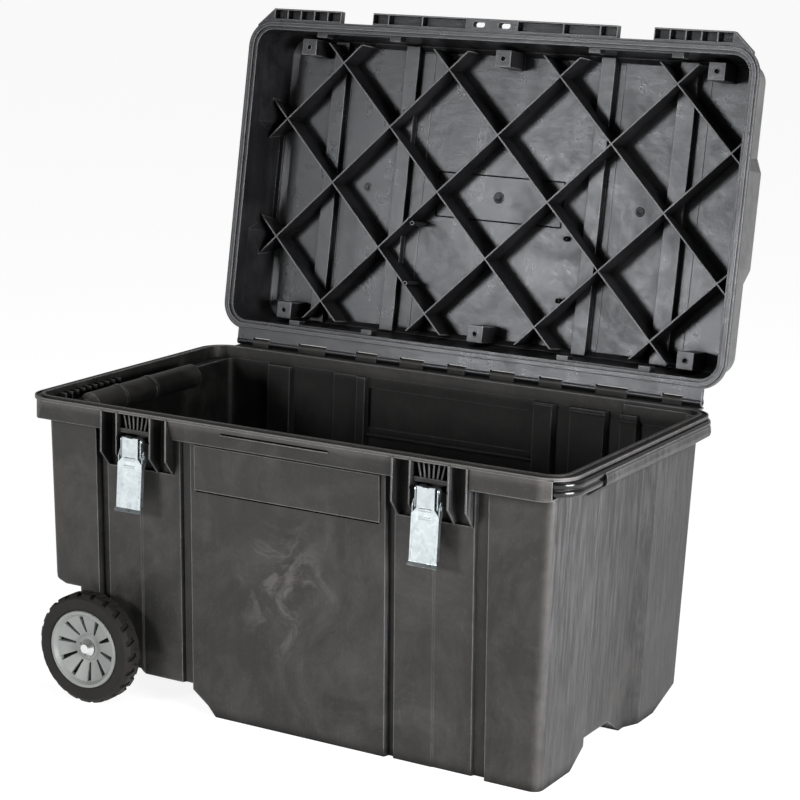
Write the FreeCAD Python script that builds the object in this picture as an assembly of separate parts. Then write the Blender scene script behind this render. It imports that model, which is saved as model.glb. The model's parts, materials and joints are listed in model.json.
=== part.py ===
import FreeCAD, Part
import math
import os

from FreeCAD import Vector

os.makedirs("parts", exist_ok=True)

# Jobsite storage box, modelled in millimetres with the lid open.
# +Z is up, the ground is z = 0, the latches face -Y, the wheels are at -X and the pull handle at +X.
# The origin is on the ground, under the middle of the rim.

# ---------------------------------------------------------------- tub
inner_length = 905.0        # clear opening inside the rim, along X
inner_width = 506.0         # clear opening inside the rim, along Y
inner_corner = 30.0         # plan radius of the opening
flange_width = 16.0         # flat of the rim, outwards from the opening
flange_top = 464.5          # height of the flat that the lid sits on
flange_thickness = 3.5
tongue_height = 3.5         # raised edge round the opening, which enters the lid's groove
tongue_width = 5.0
bead_height = 1.6           # low bead along the outer edge of the flange
bead_width = 3.0
skirt_drop = 30.0           # skirt below the flange
skirt_thickness = 2.5
skirt_inset_x = 5.5         # skirt inside the flange edge, on the two ends
skirt_inset_y = 1.0         # and on the front and back
skirt_lean = 7.0            # long sides of the skirt lean in by this much at their foot
rib_pitch = 82.0            # ribs between skirt and wall
rib_thickness = 2.4
collar_height = 17.5        # upright band of wall between body and flange
wall = 3.5
floor = 4.0
right_setback = 21.5        # body faces at the ground, inside the rim opening
left_setback = 28.5
front_setback = 11.0
back_setback = 4.0
draft_right = 0.034         # each face leans out by this much per millimetre of height
draft_left = 0.016
draft_front = 0.035
draft_back = 0.019
body_corner = 16.0
step_run = 3.0              # width of the sloped side of each moulded step
groove_depth = 12.0
latch_panel_depth = 5.0
latch_panel_step = 1.4
centre_panel_depth = 2.0
left_latch_panel = (-64.0, 74.0)    # edges of each latch panel from the middle of its latch
right_latch_panel = (-66.0, 65.0)
left_grooves = (14.0, 19.0)         # widths of the grooves beside each latch panel
right_grooves = (11.0, 22.0)
back_flutes = [                     # upright flutes in the back wall: from, to, depth
    (-341.0, -300.0, 12.0),
    (-214.0, -165.0, 5.0),
    (-165.0, -151.0, 12.0),
    (166.0, 196.0, 12.0),
    (231.0, 288.0, 12.0),
    (318.0, 343.0, 12.0),
]
end_recess_depth = 12.0     # recessed panel in the handle end
end_recess_run = 28.0       # sloped far side of the recess, along Y
end_recess_step = 10.0      # sloped near side
end_recess_front = -98.0
end_recess_back = 102.0
end_recess_top = 421.0
band_bottom = 358.0         # raised blank band high on the middle of the front and back
band_height = 70.0
band_proud = 2.5
band_left = -153.0
band_right = 169.0

# Lower outline of the tub, seen from the front.
base_left = -120.0          # where the base leaves the ground towards the wheels
base_slope = (14.0, 16.0)   # first, steeper part of the slope up from the base: run and rise
base_slope_run = 49.0       # whole run of the slope
step_height = 43.0          # level underside between base and wheel bay
overhang_height = 167.0     # underside of the wheel-end overhang
overhang_chamfer = (13.0, 22.0)     # broken lower corner of the overhang: run and rise
bay_ahead = 64.0            # bay from the axle towards the base
bay_behind = 46.0           # and towards the wheel end
bay_over = 27.0             # ceiling of the open axle bay above the axle
bay_slope = 8.0
bay_cheek = 8.0             # thickness of the bay's end cheeks, along Y
bay_rib_y = 125.0           # cross ribs in the bay
bay_rib_thickness = 6.0
rear_bevel_run = 90.0       # bevel along the lower back edge
rear_bevel_rise = 31.0
foot_gap_front = -145.0     # gap between the two feet at the handle end
foot_gap_back = 62.0
foot_gap_slope = 50.0       # sloped ends of the gap, along Y
foot_gap_depth = 36.0       # how far the underside slants in behind the recess
foot_rise = 28.0

# ---------------------------------------------------------------- wheels
wheel_radius = 87.0
wheel_setback = 98.0        # axle inside the wheel end of the body
tyre_width = 38.0
tyre_shoulder = 7.0
hub_radius = 61.5
hub_dish = 13.0
hub_slots = 10
slot_inner = (24.0, 3.2)    # radius and width of a slot at its inner end
slot_outer = (51.5, 7.6)
rim_width = 9.0             # raised ring between slots and tyre
nave_radius = 17.0
lug_count = 22
lug_depth = 4.0
lug_gap = 8.0
lug_skew = 18.0             # degrees
tread_overlap = 2.0         # the two rows of gaps cross the middle of the tread by this much
axle_radius = 6.0
wheel_proud = 36.0          # outer face of each wheel beyond the rim
axle_clearance = 0.08
axle_boss_wall = 4.0
axle_boss_proud = 3.0
spacer_radius = 11.0
spacer_clearance = 1.3
cap_radius = 14.0
cap_height = 8.0
cap_clearance = 0.4

# ---------------------------------------------------------------- hinge
hinge_reach = 20.5          # hinge line beyond the rim
hinge_rise = 7.5            # and above the flange
hinge_inset = 34.5          # ends of the hinge inside the ends of the rim
hinge_rod_radius = 2.5
hinge_rod_inset = 2.0
knuckle_radius = 6.5
knuckle_gap = 0.8           # side gap between knuckles of lid and tub
hinge_clearance = 0.08
lid_open_angle = 98.8
knuckles = [                # tub knuckles on each side of the middle: place and width along X
    (0.0, 34.0),
    (85.0, 46.0),
    (173.0, 42.0),
    (281.0, 56.0),
    (385.0, 34.0),
]

# ---------------------------------------------------------------- lid
lid_seat = 0.3              # gap between lid rim and flange when shut
lid_flange_thickness = 9.5
lid_height = 115.0          # lid rim face to the outer face of its top
lid_wall = 3.5
lid_inset = 7.0             # lid body inside the lid flange
lid_crown_inset_x = 27.5    # lid top inside the rim
lid_crown_inset_y = 20.0
lid_top_corner = 34.0
lid_edge_bevel = 11.0
end_block_half = 77.0       # proud block in the middle of each lid end
end_block_run = 28.0
end_block_proud = 11.0
groove_clearance = 0.7
lattice_pitch = 103.5
lattice_thickness = 2.4
lattice_height = 48.0
lattice_gap = 9.0           # ends of the ribs inside the lid's long walls
boss_size = 28.0
boss_inset_x = 63.0         # middles of the corner bosses inside the lid top's edges
boss_inset_y = 19.0
boss_height = 56.0
boss_bore = 3.6
boss_bore_depth = 10.0
ridge_inner = 177.0         # two pairs of ridges run front to back over the lid top
ridge_outer = 334.0
ridge_width = 40.0
ridge_outer_width = 30.0
ridge_height = 6.0
ridge_slope = 7.0           # run of a ridge's sloped sides
ridge_inset = 6.0           # ends of the ridges inside the bevel
tab_width = 20.0
tab_height = 20.0
tab_proud = 9.0
tab_rise = 12.0             # tabs above the lid's rim face
tab_rail = 3.0              # low rail that joins each pair of tabs
tab_inner = 184.0
tab_outer = 328.0
lip_reach = 20.0            # front lips beyond the lid flange
lip_thickness = 13.0
lip_wall = 2.4
lip_rise = 2.0              # lips above the lid's rim face
side_lip_inset = 25.5       # outer end of a side lip inside the rim's corner
side_lip_length = 155.0
side_lip_chamfer = 32.0
centre_lip_half = 225.0
centre_lip_cells = (30.0, 65.0)     # lengths of the two cells at each end of the centre lip
lip_cells = 5
eye_spacing = 47.0
eye_length = 22.0
eye_width = 9.0

# ---------------------------------------------------------------- latches
latch_x = 256.0             # latch centres either side of the middle
latch_zone_half = 62.0      # width of the recess behind a latch, each way
latch_zone_height = 87.0    # recess below the flange
latch_zone_depth = 13.0     # recess behind the latch, below the pillar faces
fin_thickness = 2.6
fin_proud = 3.0             # fins beyond the skirt
fin_inner = 31.0
fin_outer = 60.0
fin_toe = 24.0              # the fins slant back to the recess over this height
pivot_proud = 2.0           # latch pivot beyond the rim
pivot_drop = 38.0           # and below the flange
bracket_rise = 8.5          # cross bar above the pivot
bracket_height = 6.5
bracket_ribs = 6
bracket_pitch = 8.8         # ribs at the flange; they close up towards the bar
bracket_close = 0.75
link_length = 24.0
link_half_width = 5.0
pin_radius = 2.0
pin_clearance = 0.06
lug_radius = 4.0
lug_inner = 14.6
lug_outer = 16.85
plate = 1.5                 # latch sheet thickness
link_gap = 0.35
neck_half = 14.5
lever_half = 22.4
lever_drop = 85.0           # link rivet to the lower lip of the lever
lever_stand_off = 7.2       # lever's face ahead of the pivot line
lever_kick = 4.0            # lever leans out by this much at its foot
lip_half = 24.5
claw_overlap = 3.0
claw_clearance = 0.6
head_height = 1.2
pivot_head = 3.6
rivet_head = 3.8

# ---------------------------------------------------------------- pull handle
bar_width = 8.5
bar_bead = 11.3             # each of the two stacked beads
bar_clearance = 0.5         # top of the bar below the flange
bar_proud = 2.0             # middle of the bar's end run beyond the rim
bar_corner = 40.0           # bend of the bar on its middle line
leg_clearance = 2.0         # bar from the closed end and the floor of its channel
leg_channel_length = 124.0
leg_channel_inset = 17.0    # mouth of the channel inside the skirt's end
leg_wall_depth = 12.0       # from skirt inner face to the channel's back wall
mouth_flare = 4.5           # the channel widens by this much where the bar bends
guide_length = 16.0
guide_setback = 12.5        # guide from the start of the bend
guide_clearance = 0.3
keeper_length = 10.0
keeper_clearance = 0.4
grip_start = 61.5           # front end of the grip from the front bend
grip_proud = 8.5            # grip's face beyond the middle of the bar
grip_drop = 4.0             # top of the grip below the flange
grip_height = 37.0
grip_round = 4.0            # broken upper edge of the grip
grip_clearance = 1.5

# ---------------------------------------------------------------- carry pocket, wheel end
pocket_front = -165.0
pocket_back = 105.0
pocket_radius = 20.0
pocket_inset = 40.5         # middle of the bulge inside the rim opening
pocket_drop = 7.0           # and below the top of the body
pocket_end = 6.0            # bulge beyond each end of the pocket
pocket_nose = 10.0          # tapered nose of the bulge
pocket_bands = (67.5, 151.0)        # raised bands round it, from its front end
pocket_band_width = 6.0
pocket_band_proud = 1.5
pocket_lip = 6.0            # wall kept above the pocket's mouth
comb_count = 10
comb_start = -200.0
comb_pitch = 16.0
comb_thickness = 2.0
comb_reach = 12.0

# ---------------------------------------------------------------- derived sizes
half_length = inner_length / 2
half_width = inner_width / 2
flange_x = half_length + flange_width
flange_y = half_width + flange_width
flange_corner = inner_corner + flange_width
flange_bottom = flange_top - flange_thickness
skirt_x = flange_x - skirt_inset_x
skirt_y = flange_y - skirt_inset_y
skirt_bottom = flange_bottom - skirt_drop
body_top = flange_bottom - collar_height + flange_thickness
body_right = half_length - right_setback
body_left = -half_length + left_setback
body_front = -half_width + front_setback
body_back = half_width - back_setback
wheel_x = body_left + wheel_setback
bay_left = wheel_x - bay_behind
bay_right = wheel_x + bay_ahead
bay_height = wheel_radius + bay_over
wheel_face = flange_y + wheel_proud
hinge_y = flange_y + hinge_reach
hinge_z = flange_top + hinge_rise
hinge_half = flange_x - hinge_inset
lid_bottom = flange_top + lid_seat
lid_top = lid_bottom + lid_height
lid_top_half_length = flange_x - lid_crown_inset_x
lid_top_half_width = flange_y - lid_crown_inset_y
latch_zone_bottom = flange_bottom - latch_zone_height
link_pivot_y = -flange_y - pivot_proud
link_pivot_z = flange_bottom - pivot_drop
rivet_z = link_pivot_z - link_length
lever_front = link_pivot_y - lever_stand_off
bar_z = flange_bottom - bar_clearance - bar_bead
bar_end_x = flange_x + bar_proud
bend_x = bar_end_x - bar_corner
channel_wall_y = skirt_y - skirt_thickness - leg_wall_depth
channel_floor = bar_z - bar_bead - leg_clearance
channel_end = skirt_x - leg_channel_inset
channel_start = channel_end - leg_channel_length
leg_y = skirt_y - skirt_thickness - leg_wall_depth / 2
leg_start = channel_start + leg_clearance
guide_start = bend_x - guide_setback - guide_length
pocket_x = -half_length + pocket_inset
pocket_z = body_top - pocket_drop
beyond = 2 * inner_length   # well outside everything, for cuts that go right through
ORIGIN = Vector(0, 0, 0)
X = Vector(1, 0, 0)
Y = Vector(0, 1, 0)
Z = Vector(0, 0, 1)


# ---------------------------------------------------------------- shape helpers
def box(x0, x1, y0, y1, z0, z1):
    return Part.makeBox(x1 - x0, y1 - y0, z1 - z0, Vector(x0, y0, z0))


def outline(points, radii=0.0):
    """Closed wire through the points, each corner rounded by its own radius."""
    count = len(points)
    if not isinstance(radii, (list, tuple)):
        radii = [radii] * count
    edges = []
    ends = []
    for index in range(count):
        corner = points[index]
        before = points[index - 1] - corner
        after = points[(index + 1) % count] - corner
        radius = radii[index]
        turn = before.getAngle(after)
        if radius <= 0 or math.pi - turn < 0.02:
            ends.append((corner, corner, None))
            continue
        setback = radius / math.tan(turn / 2)
        first = corner + Vector(before).normalize() * setback
        last = corner + Vector(after).normalize() * setback
        bisector = (Vector(before).normalize() + Vector(after).normalize()).normalize()
        middle = corner + bisector * (radius / math.sin(turn / 2) - radius)
        ends.append((first, last, middle))
    for index in range(count):
        first, last, middle = ends[index]
        if middle is not None:
            edges.append(Part.Arc(first, middle, last).toShape())
        following = ends[(index + 1) % count][0]
        if (following - last).Length > 1e-6:
            edges.append(Part.makeLine(last, following))
    return Part.Wire(edges)


def slab(wire, direction):
    return Part.Face(wire).extrude(direction)


def rounded_rectangle(half_x, half_y, radius, z):
    corners = [(-half_x, -half_y), (half_x, -half_y), (half_x, half_y), (-half_x, half_y)]
    return outline([Vector(x, y, z) for x, y in corners], radius)


def rounded_slab(half_x, half_y, radius, z0, z1):
    return slab(rounded_rectangle(half_x, half_y, radius, z0), Z * (z1 - z0))


def front_slab(profile, y0, y1, radii=0.0):
    """Solid with the given X-Z profile, from y0 to y1."""
    wire = outline([Vector(x, y0, z) for x, z in profile], radii)
    return slab(wire, Y * (y1 - y0))


def side_slab(profile, x0, x1, radii=0.0):
    """Solid with the given Y-Z profile, from x0 to x1."""
    wire = outline([Vector(x0, y, z) for y, z in profile], radii)
    return slab(wire, X * (x1 - x0))


def plan_slab(profile, z0, z1, radii=0.0):
    wire = outline([Vector(x, y, z0) for x, y in profile], radii)
    return slab(wire, Z * (z1 - z0))


def inset(points, distance):
    """Polygon moved inwards by a wall; the points run anticlockwise."""
    moved = []
    count = len(points)
    for index in range(count):
        x0, y0 = points[index - 1]
        x1, y1 = points[index]
        x2, y2 = points[(index + 1) % count]
        ax, ay = x1 - x0, y1 - y0
        bx, by = x2 - x1, y2 - y1
        la, lb = math.hypot(ax, ay), math.hypot(bx, by)
        nax, nay = -ay / la, ax / la
        nbx, nby = -by / lb, bx / lb
        share = distance / (1 + nax * nbx + nay * nby)
        moved.append((x1 + (nax + nbx) * share, y1 + (nay + nby) * share))
    return moved


def tapered(lower, upper):
    """Flat-sided solid between two level outlines with as many corners each."""
    rings = [lower[::-1], upper]
    for index in range(len(lower)):
        rings.append([lower[index - 1], lower[index], upper[index], upper[index - 1]])
    faces = [Part.Face(Part.makePolygon(ring + ring[:1])) for ring in rings]
    return Part.makeSolid(Part.makeShell(faces))


def frustum(base, top, z0, z1, radius):
    """Block that tapers between two half sizes, with its four upright edges rounded."""
    rows = []
    for (half_x, half_y), z in ((base, z0), (top, z1)):
        corners = [(-half_x, -half_y), (half_x, -half_y), (half_x, half_y), (-half_x, half_y)]
        rows.append([Vector(x, y, z) for x, y in corners])
    block = tapered(rows[0], rows[1])
    upright = [edge for edge in block.Edges if edge.BoundBox.ZLength > (z1 - z0) / 2]
    return block.makeFillet(radius, upright)


def both_sides(shape, direction):
    """A shape and its mirror image across the middle of the box."""
    return [shape, shape.mirror(ORIGIN, direction)]


def cylinder_x(radius, x0, x1, y, z):
    return Part.makeCylinder(radius, x1 - x0, Vector(x0, y, z), X)


def cylinder_y(radius, y0, y1, x, z):
    return Part.makeCylinder(radius, y1 - y0, Vector(x, y0, z), Y)


def cylinder_z(radius, z0, z1, x, y):
    return Part.makeCylinder(radius, z1 - z0, Vector(x, y, z0), Z)


def fuse(shapes):
    whole = shapes[0]
    if len(shapes) > 1:
        whole = whole.multiFuse(shapes[1:])
    return whole.removeSplitter()


def cut(shape, tools):
    return shape.cut(Part.makeCompound(tools)) if tools else shape


def export(shape, node):
    solids = shape.Solids
    assert len(solids) == 1 and solids[0].isValid(), (node, len(solids))
    solids[0].exportStep("parts/" + node + ".step")


# ---------------------------------------------------------------- tub
def face_y(z, front):
    if front:
        return body_front - draft_front * z
    return body_back + draft_back * z


def stepped_face(panels, z, front):
    """Points along the front or back wall; each panel is (left, right, depth)."""
    points = []
    for left, right, depth in panels:
        y = face_y(z, front) + (depth if front else -depth)
        points.append((left, y))
        points.append((right, y))
    return points


def panel_row(breaks, left_end, right_end):
    """Panels between the given breaks, with a sloped step at each break."""
    row = []
    left = left_end
    for position, depth in breaks:
        row.append((left, position - step_run / 2, depth))
        left = position + step_run / 2
    last = row.pop()
    row.append((last[0], right_end, last[2]))
    return row


def latch_breaks(centre, before, panel, grooves):
    """Steps across one latch panel and its two grooves, with the depth to the left of each."""
    left = centre + panel[0]
    right = centre + panel[1]
    return [
        (left - grooves[0], before),
        (left, groove_depth),
        (centre, latch_panel_depth),
        (right, latch_panel_depth + latch_panel_step),
        (right + grooves[1], groove_depth),
    ]


def flute_breaks(flutes):
    """Steps at both sides of each flute, with the depth to the left of each."""
    breaks = []
    for start, end, depth in flutes:
        if not breaks or breaks[-1][0] != start:
            breaks.append((start, 0.0))
        breaks.append((end, depth))
    return breaks


front_breaks = latch_breaks(-latch_x, 0.0, left_latch_panel, left_grooves)
front_breaks += latch_breaks(latch_x, centre_panel_depth, right_latch_panel, right_grooves)
front_breaks.append((body_right, 0.0))
back_breaks = flute_breaks(back_flutes)
back_breaks.append((body_right, 0.0))


def body_plan(z):
    right = body_right + draft_right * z
    left = body_left - draft_left * z
    recessed = right - end_recess_depth
    front = stepped_face(panel_row(front_breaks, left, right), z, True)
    back = stepped_face(panel_row(back_breaks, left, right), z, False)
    end = [
        (right, end_recess_front),
        (recessed, end_recess_front + end_recess_step),
        (recessed, end_recess_back - end_recess_run),
        (right, end_recess_back),
    ]
    return front + end + back[::-1]


def body_loft(distance, z0, z1):
    """Tapered body between two heights, moved inwards by a distance, with rounded corners."""
    rows = []
    for z in (z0, z1):
        plan = inset(body_plan(z), distance)
        rows.append([Vector(x, y, z) for x, y in plan])
    solid = tapered(rows[0], rows[1])
    front_right = 2 * len(front_breaks) - 1
    feet = [rows[0][index] for index in (0, front_right, front_right + 5, -1)]
    corners = []
    for edge in solid.Edges:
        lowest = min(edge.Vertexes, key=lambda vertex: vertex.Z)
        at_corner = any(lowest.Point.distanceToPoint(foot) < step_run / 2 for foot in feet)
        if at_corner and edge.BoundBox.ZLength > (z1 - z0) / 2:
            corners.append(edge)
    return solid.makeFillet(body_corner - distance, corners)


def lower_outline(raise_by, over_axle):
    """Underside of the tub in the X-Z plane, closed far above and beside it."""
    overhang = overhang_height + raise_by
    ceiling = bay_height + raise_by if over_axle else step_height + bay_slope
    chamfer_run, chamfer_rise = overhang_chamfer
    slope_run, slope_rise = base_slope
    end = body_left - draft_left * overhang_height + raise_by
    base = base_left + raise_by / 2
    return [
        (beyond, raise_by),
        (beyond, beyond),
        (-beyond, beyond),
        (-beyond, overhang + chamfer_rise),
        (end, overhang + chamfer_rise),
        (end + chamfer_run / 2, overhang + chamfer_rise / 3),
        (end + 2 * chamfer_run, overhang),
        (bay_left + raise_by, overhang),
        (bay_left + raise_by, ceiling),
        (bay_right + raise_by, ceiling),
        (bay_right + bay_slope + raise_by, step_height + raise_by),
        (base - base_slope_run, step_height + raise_by),
        (base - slope_run, slope_rise + raise_by),
        (base, raise_by),
    ]


def rear_outline(raise_by):
    """Underside of the tub in the Y-Z plane, with the bevel along the back."""
    foot = face_y(0, False)
    slope = rear_bevel_rise / rear_bevel_run
    return [
        (-beyond, raise_by),
        (foot - rear_bevel_run - raise_by / 4, raise_by),
        (foot, rear_bevel_rise + raise_by),
        (beyond, rear_bevel_rise + raise_by + slope * (beyond - foot)),
        (beyond, beyond),
        (-beyond, beyond),
    ]


def trimmed_body(distance, raise_by, over_axle, top):
    solid = body_loft(distance, 0.0, top)
    solid = solid.common(front_slab(lower_outline(raise_by, over_axle), -beyond, beyond))
    return solid.common(side_slab(rear_outline(raise_by), -beyond, beyond))


def skirt_form(distance):
    """Block inside the skirt's face; its long sides lean in as far as the handle's channels."""
    block = rounded_slab(skirt_x - distance, skirt_y - distance, flange_corner - skirt_inset_x - distance,
                         skirt_bottom - distance, flange_bottom)
    top = skirt_y - distance
    foot = top - skirt_lean * (1 + distance / skirt_drop)
    leaning = side_slab([
        (-foot, skirt_bottom - distance),
        (foot, skirt_bottom - distance),
        (top, flange_bottom),
        (-top, flange_bottom),
    ], -beyond, latch_x)
    upright = box(latch_x, beyond, -beyond, beyond, skirt_bottom - distance, flange_bottom)
    return block.common(Part.makeCompound([leaning, upright]))


def make_collar():
    """Rim of the tub: ledge, upright band, flange, tongue, bead and skirt."""
    opening = rounded_slab(half_length, half_width, inner_corner, 0, beyond)
    ledge = rounded_slab(half_length + wall, half_width + wall, inner_corner + wall,
                         body_top - wall, flange_bottom)
    ledge = ledge.cut(rounded_slab(half_length, half_width, inner_corner, body_top, flange_top))
    flange = rounded_slab(flange_x, flange_y, flange_corner, flange_bottom, flange_top)
    tongue = rounded_slab(half_length + tongue_width, half_width + tongue_width,
                          inner_corner + tongue_width, flange_top, flange_top + tongue_height)
    bead = rounded_slab(flange_x, flange_y, flange_corner, flange_bottom, flange_top + bead_height)
    bead = bead.cut(rounded_slab(flange_x - bead_width, flange_y - bead_width,
                                 flange_corner - bead_width, 0, beyond))
    rim = fuse([flange, tongue, bead]).cut(opening)
    gaps = [box(channel_end, beyond, -beyond, beyond, 0, flange_bottom)]
    for centre in (-latch_x, latch_x):
        gaps.append(box(centre - latch_zone_half, centre + latch_zone_half, -beyond, 0, 0, flange_bottom))
    skirt = cut(skirt_form(0.0), [skirt_form(skirt_thickness)] + gaps)
    return [ledge, rim, skirt]


def rib_places(reach):
    """Middles of evenly spaced ribs between -reach and reach."""
    count = round(reach / rib_pitch)
    return [(index + 0.5) * rib_pitch for index in range(-count, count)]


def make_gussets():
    """Ribs that tie the skirt to the wall at the wheel end, along the back and along the front."""
    within = skirt_form(skirt_thickness / 2)
    half = rib_thickness / 2
    ribs = []
    for y in rib_places(half_width):
        ribs.append(box(-skirt_x, -half_length - wall / 2, y - half, y + half, body_top, flange_bottom + 1))
    for x in rib_places(half_length):
        past_channel = x + half > channel_start - wall
        behind_latch = abs(abs(x) - latch_x) < latch_zone_half + wall
        if not past_channel:
            ribs.append(box(x - half, x + half, half_width + wall / 2, skirt_y, body_top, flange_bottom + 1))
        if not past_channel and not behind_latch:
            ribs.append(box(x - half, x + half, -skirt_y, -half_width - wall / 2, body_top, flange_bottom + 1))
    reach_up = within.fuse(rounded_slab(skirt_x, skirt_y, flange_corner, flange_bottom, flange_top))
    return [rib.common(reach_up) for rib in ribs]


def latch_mount(centre):
    """Inner bulge, outer recess, fins, cross bar and pivot lugs behind one latch."""
    recess_y = face_y(latch_zone_bottom, True) + latch_zone_depth
    root = recess_y + wall / 2
    bulge = box(centre - latch_zone_half - wall, centre + latch_zone_half + wall,
                face_y(0, True) - wall, recess_y + wall, latch_zone_bottom - wall, flange_bottom)
    recess = box(centre - latch_zone_half, centre + latch_zone_half, -beyond, recess_y,
                 latch_zone_bottom, flange_bottom)
    fin_front = -skirt_y - fin_proud
    fin = [
        (root, latch_zone_bottom - wall / 2),
        (recess_y - latch_zone_depth / 2, latch_zone_bottom - wall / 2),
        (fin_front, latch_zone_bottom + fin_toe),
        (fin_front, flange_bottom + 1),
        (root, flange_bottom + 1),
    ]
    solids = []
    for offset in (-fin_outer, -fin_inner, fin_inner, fin_outer):
        middle = centre + offset
        solids.append(side_slab(fin, middle - fin_thickness / 2, middle + fin_thickness / 2))
    bar_front = link_pivot_y + link_half_width + plate
    bar_bottom = link_pivot_z + bracket_rise
    bar_top = bar_bottom + bracket_height
    solids.append(box(centre - fin_inner, centre + fin_inner, bar_front, root, bar_bottom, bar_top))
    half = fin_thickness / 2
    for index in range(bracket_ribs):
        high = (index - (bracket_ribs - 1) / 2) * bracket_pitch
        low = high * bracket_close
        solids.append(front_slab([
            (centre + low - half, bar_top - 1),
            (centre + low + half, bar_top - 1),
            (centre + high + half, flange_bottom + 1),
            (centre + high - half, flange_bottom + 1),
        ], bar_front + 1, root))
    lug = fuse([
        cylinder_x(lug_radius, lug_inner, lug_outer, link_pivot_y, link_pivot_z),
        box(lug_inner, lug_outer, link_pivot_y, root, link_pivot_z - lug_radius, link_pivot_z + lug_radius),
    ])
    for each in both_sides(lug, X):
        solids.append(each.translated(X * centre))
    bore = cylinder_x(pin_radius + pin_clearance, centre - fin_inner, centre + fin_inner,
                      link_pivot_y, link_pivot_z)
    return bulge, recess, solids, bore


def leg_channel(side):
    """Sleeve for one handle leg between skirt and wall: what is added and what is cut."""
    deep = channel_wall_y - wall
    sleeve_bottom = channel_floor - skirt_thickness
    added = fuse([
        box(channel_start - wall, channel_end, deep, skirt_y - skirt_thickness / 2,
            sleeve_bottom, flange_bottom + 1),
        box(bend_x - wall, channel_end, deep - mouth_flare, deep + wall, sleeve_bottom, flange_bottom),
    ])
    hollow = fuse([
        box(channel_start, beyond, channel_wall_y, skirt_y - skirt_thickness, channel_floor, flange_bottom),
        box(bend_x, beyond, channel_wall_y - mouth_flare, skirt_y - skirt_thickness,
            channel_floor, flange_bottom),
    ])
    if side < 0:
        added = added.mirror(ORIGIN, Y)
        hollow = hollow.mirror(ORIGIN, Y)
    return added, hollow


def hinge_knuckles(for_tub):
    """Knuckle positions along X as (start, end) pairs."""
    windows = []
    for centre, width in knuckles:
        for sign in ((1,) if centre == 0 else (-1, 1)):
            windows.append((sign * centre - width / 2, sign * centre + width / 2))
    windows.sort()
    if for_tub:
        return [(a + knuckle_gap, b - knuckle_gap) for a, b in windows]
    return windows


def tub_knuckle(x0, x1):
    """One tub knuckle on its bracket, which stays below the lid's hinge strip."""
    root = flange_y - bead_width
    low = flange_bottom - knuckle_radius
    profile = [
        (root, low),
        (hinge_y - knuckle_radius / 2, low),
        (hinge_y + knuckle_radius, hinge_z - knuckle_radius / 2),
        (hinge_y + knuckle_radius, hinge_z),
        (hinge_y - knuckle_radius, hinge_z),
        (hinge_y - knuckle_radius, lid_bottom + lip_rise - knuckle_gap),
        (hinge_y - 2 * knuckle_radius, flange_top - knuckle_gap),
        (root, flange_top - knuckle_gap),
    ]
    barrel = cylinder_x(knuckle_radius, x0, x1, hinge_y, hinge_z)
    return [side_slab(profile, x0, x1), barrel]


def foot_gap(growth):
    """Gap under the handle end; the underside slants in from the recessed panel to the floor."""
    low = -wall
    top = foot_rise + growth
    across = side_slab([
        (foot_gap_front - growth, low),
        (foot_gap_front + foot_gap_slope - growth / 2, top),
        (foot_gap_back - foot_gap_slope + growth / 2, top),
        (foot_gap_back + growth, low),
    ], 0, beyond)
    recessed = body_right - end_recess_depth
    under = front_slab([
        (recessed - foot_gap_depth - growth, low),
        (recessed - growth / 2, top),
        (beyond, top),
        (beyond, low),
    ], -beyond, beyond)
    return across.common(under)


def carry_pocket():
    """Rounded bulge inside the wheel end and the finger pocket that it encloses."""
    front_end = pocket_front - pocket_end
    back_end = pocket_back + pocket_end
    parts = [cylinder_y(pocket_radius, front_end, back_end, pocket_x, pocket_z)]
    for y, direction in ((front_end, -Y), (back_end, Y)):
        parts.append(Part.makeCone(pocket_radius, pocket_radius / 2, pocket_nose,
                                   Vector(pocket_x, y, pocket_z), direction))
    for band in pocket_bands:
        y = pocket_front + band
        parts.append(cylinder_y(pocket_radius + pocket_band_proud, y - pocket_band_width / 2,
                                y + pocket_band_width / 2, pocket_x, pocket_z))
    end_wall = body_left - draft_left * pocket_z + 1
    bulge = fuse(parts).cut(box(-beyond, end_wall, -beyond, beyond, 0, beyond))
    hollow_radius = pocket_radius - wall
    hollow = fuse([
        cylinder_y(hollow_radius, pocket_front, pocket_back, pocket_x, pocket_z),
        box(-beyond, pocket_x, pocket_front, pocket_back, pocket_z - hollow_radius, pocket_z + pocket_lip),
    ])
    hollow = hollow.cut(box(-beyond, 0, -beyond, beyond, body_top - wall - 0.5, beyond))
    return bulge, hollow


def comb():
    """Row of short ribs on the ledge at the wheel end."""
    teeth = []
    for index in range(comb_count):
        y = comb_start + comb_pitch * index
        teeth.append(box(-half_length - 1, body_left - comb_reach, y - comb_thickness / 2,
                         y + comb_thickness / 2, body_top - 1, flange_bottom))
    return teeth


def blank_band(front):
    """Raised band across the middle of a long wall, and the hollow that follows it inside."""
    side = -1 if front else 1
    depth = centre_panel_depth if front else 0.0
    top = band_bottom + band_height
    low_y = face_y(band_bottom, front) - side * depth
    high_y = face_y(top, front) - side * depth
    outside = [
        (low_y - side, band_bottom),
        (low_y + side * band_proud, band_bottom),
        (high_y + side * band_proud, top),
        (high_y - side, top),
    ]
    inner = -side * wall
    inside = [
        (low_y + side * band_proud + inner, band_bottom + wall),
        (high_y + side * band_proud + inner, top),
        (high_y + 2 * inner, top),
        (low_y + 2 * inner, band_bottom + wall),
    ]
    raised = side_slab(outside, band_left, band_right)
    return raised, side_slab(inside, band_left + wall, band_right - wall)


def axle_bay():
    """Open space for the axle under the tub, crossed by two ribs."""
    bay = box(bay_left + wall, bay_right - wall, face_y(wheel_radius, True) + bay_cheek,
              face_y(wheel_radius, False) - bay_cheek, 0, bay_height)
    half = bay_rib_thickness / 2
    ribs = [box(-beyond, 0, y - half, y + half, 0, beyond) for y in (-bay_rib_y, bay_rib_y)]
    return cut(bay, ribs)


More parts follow.
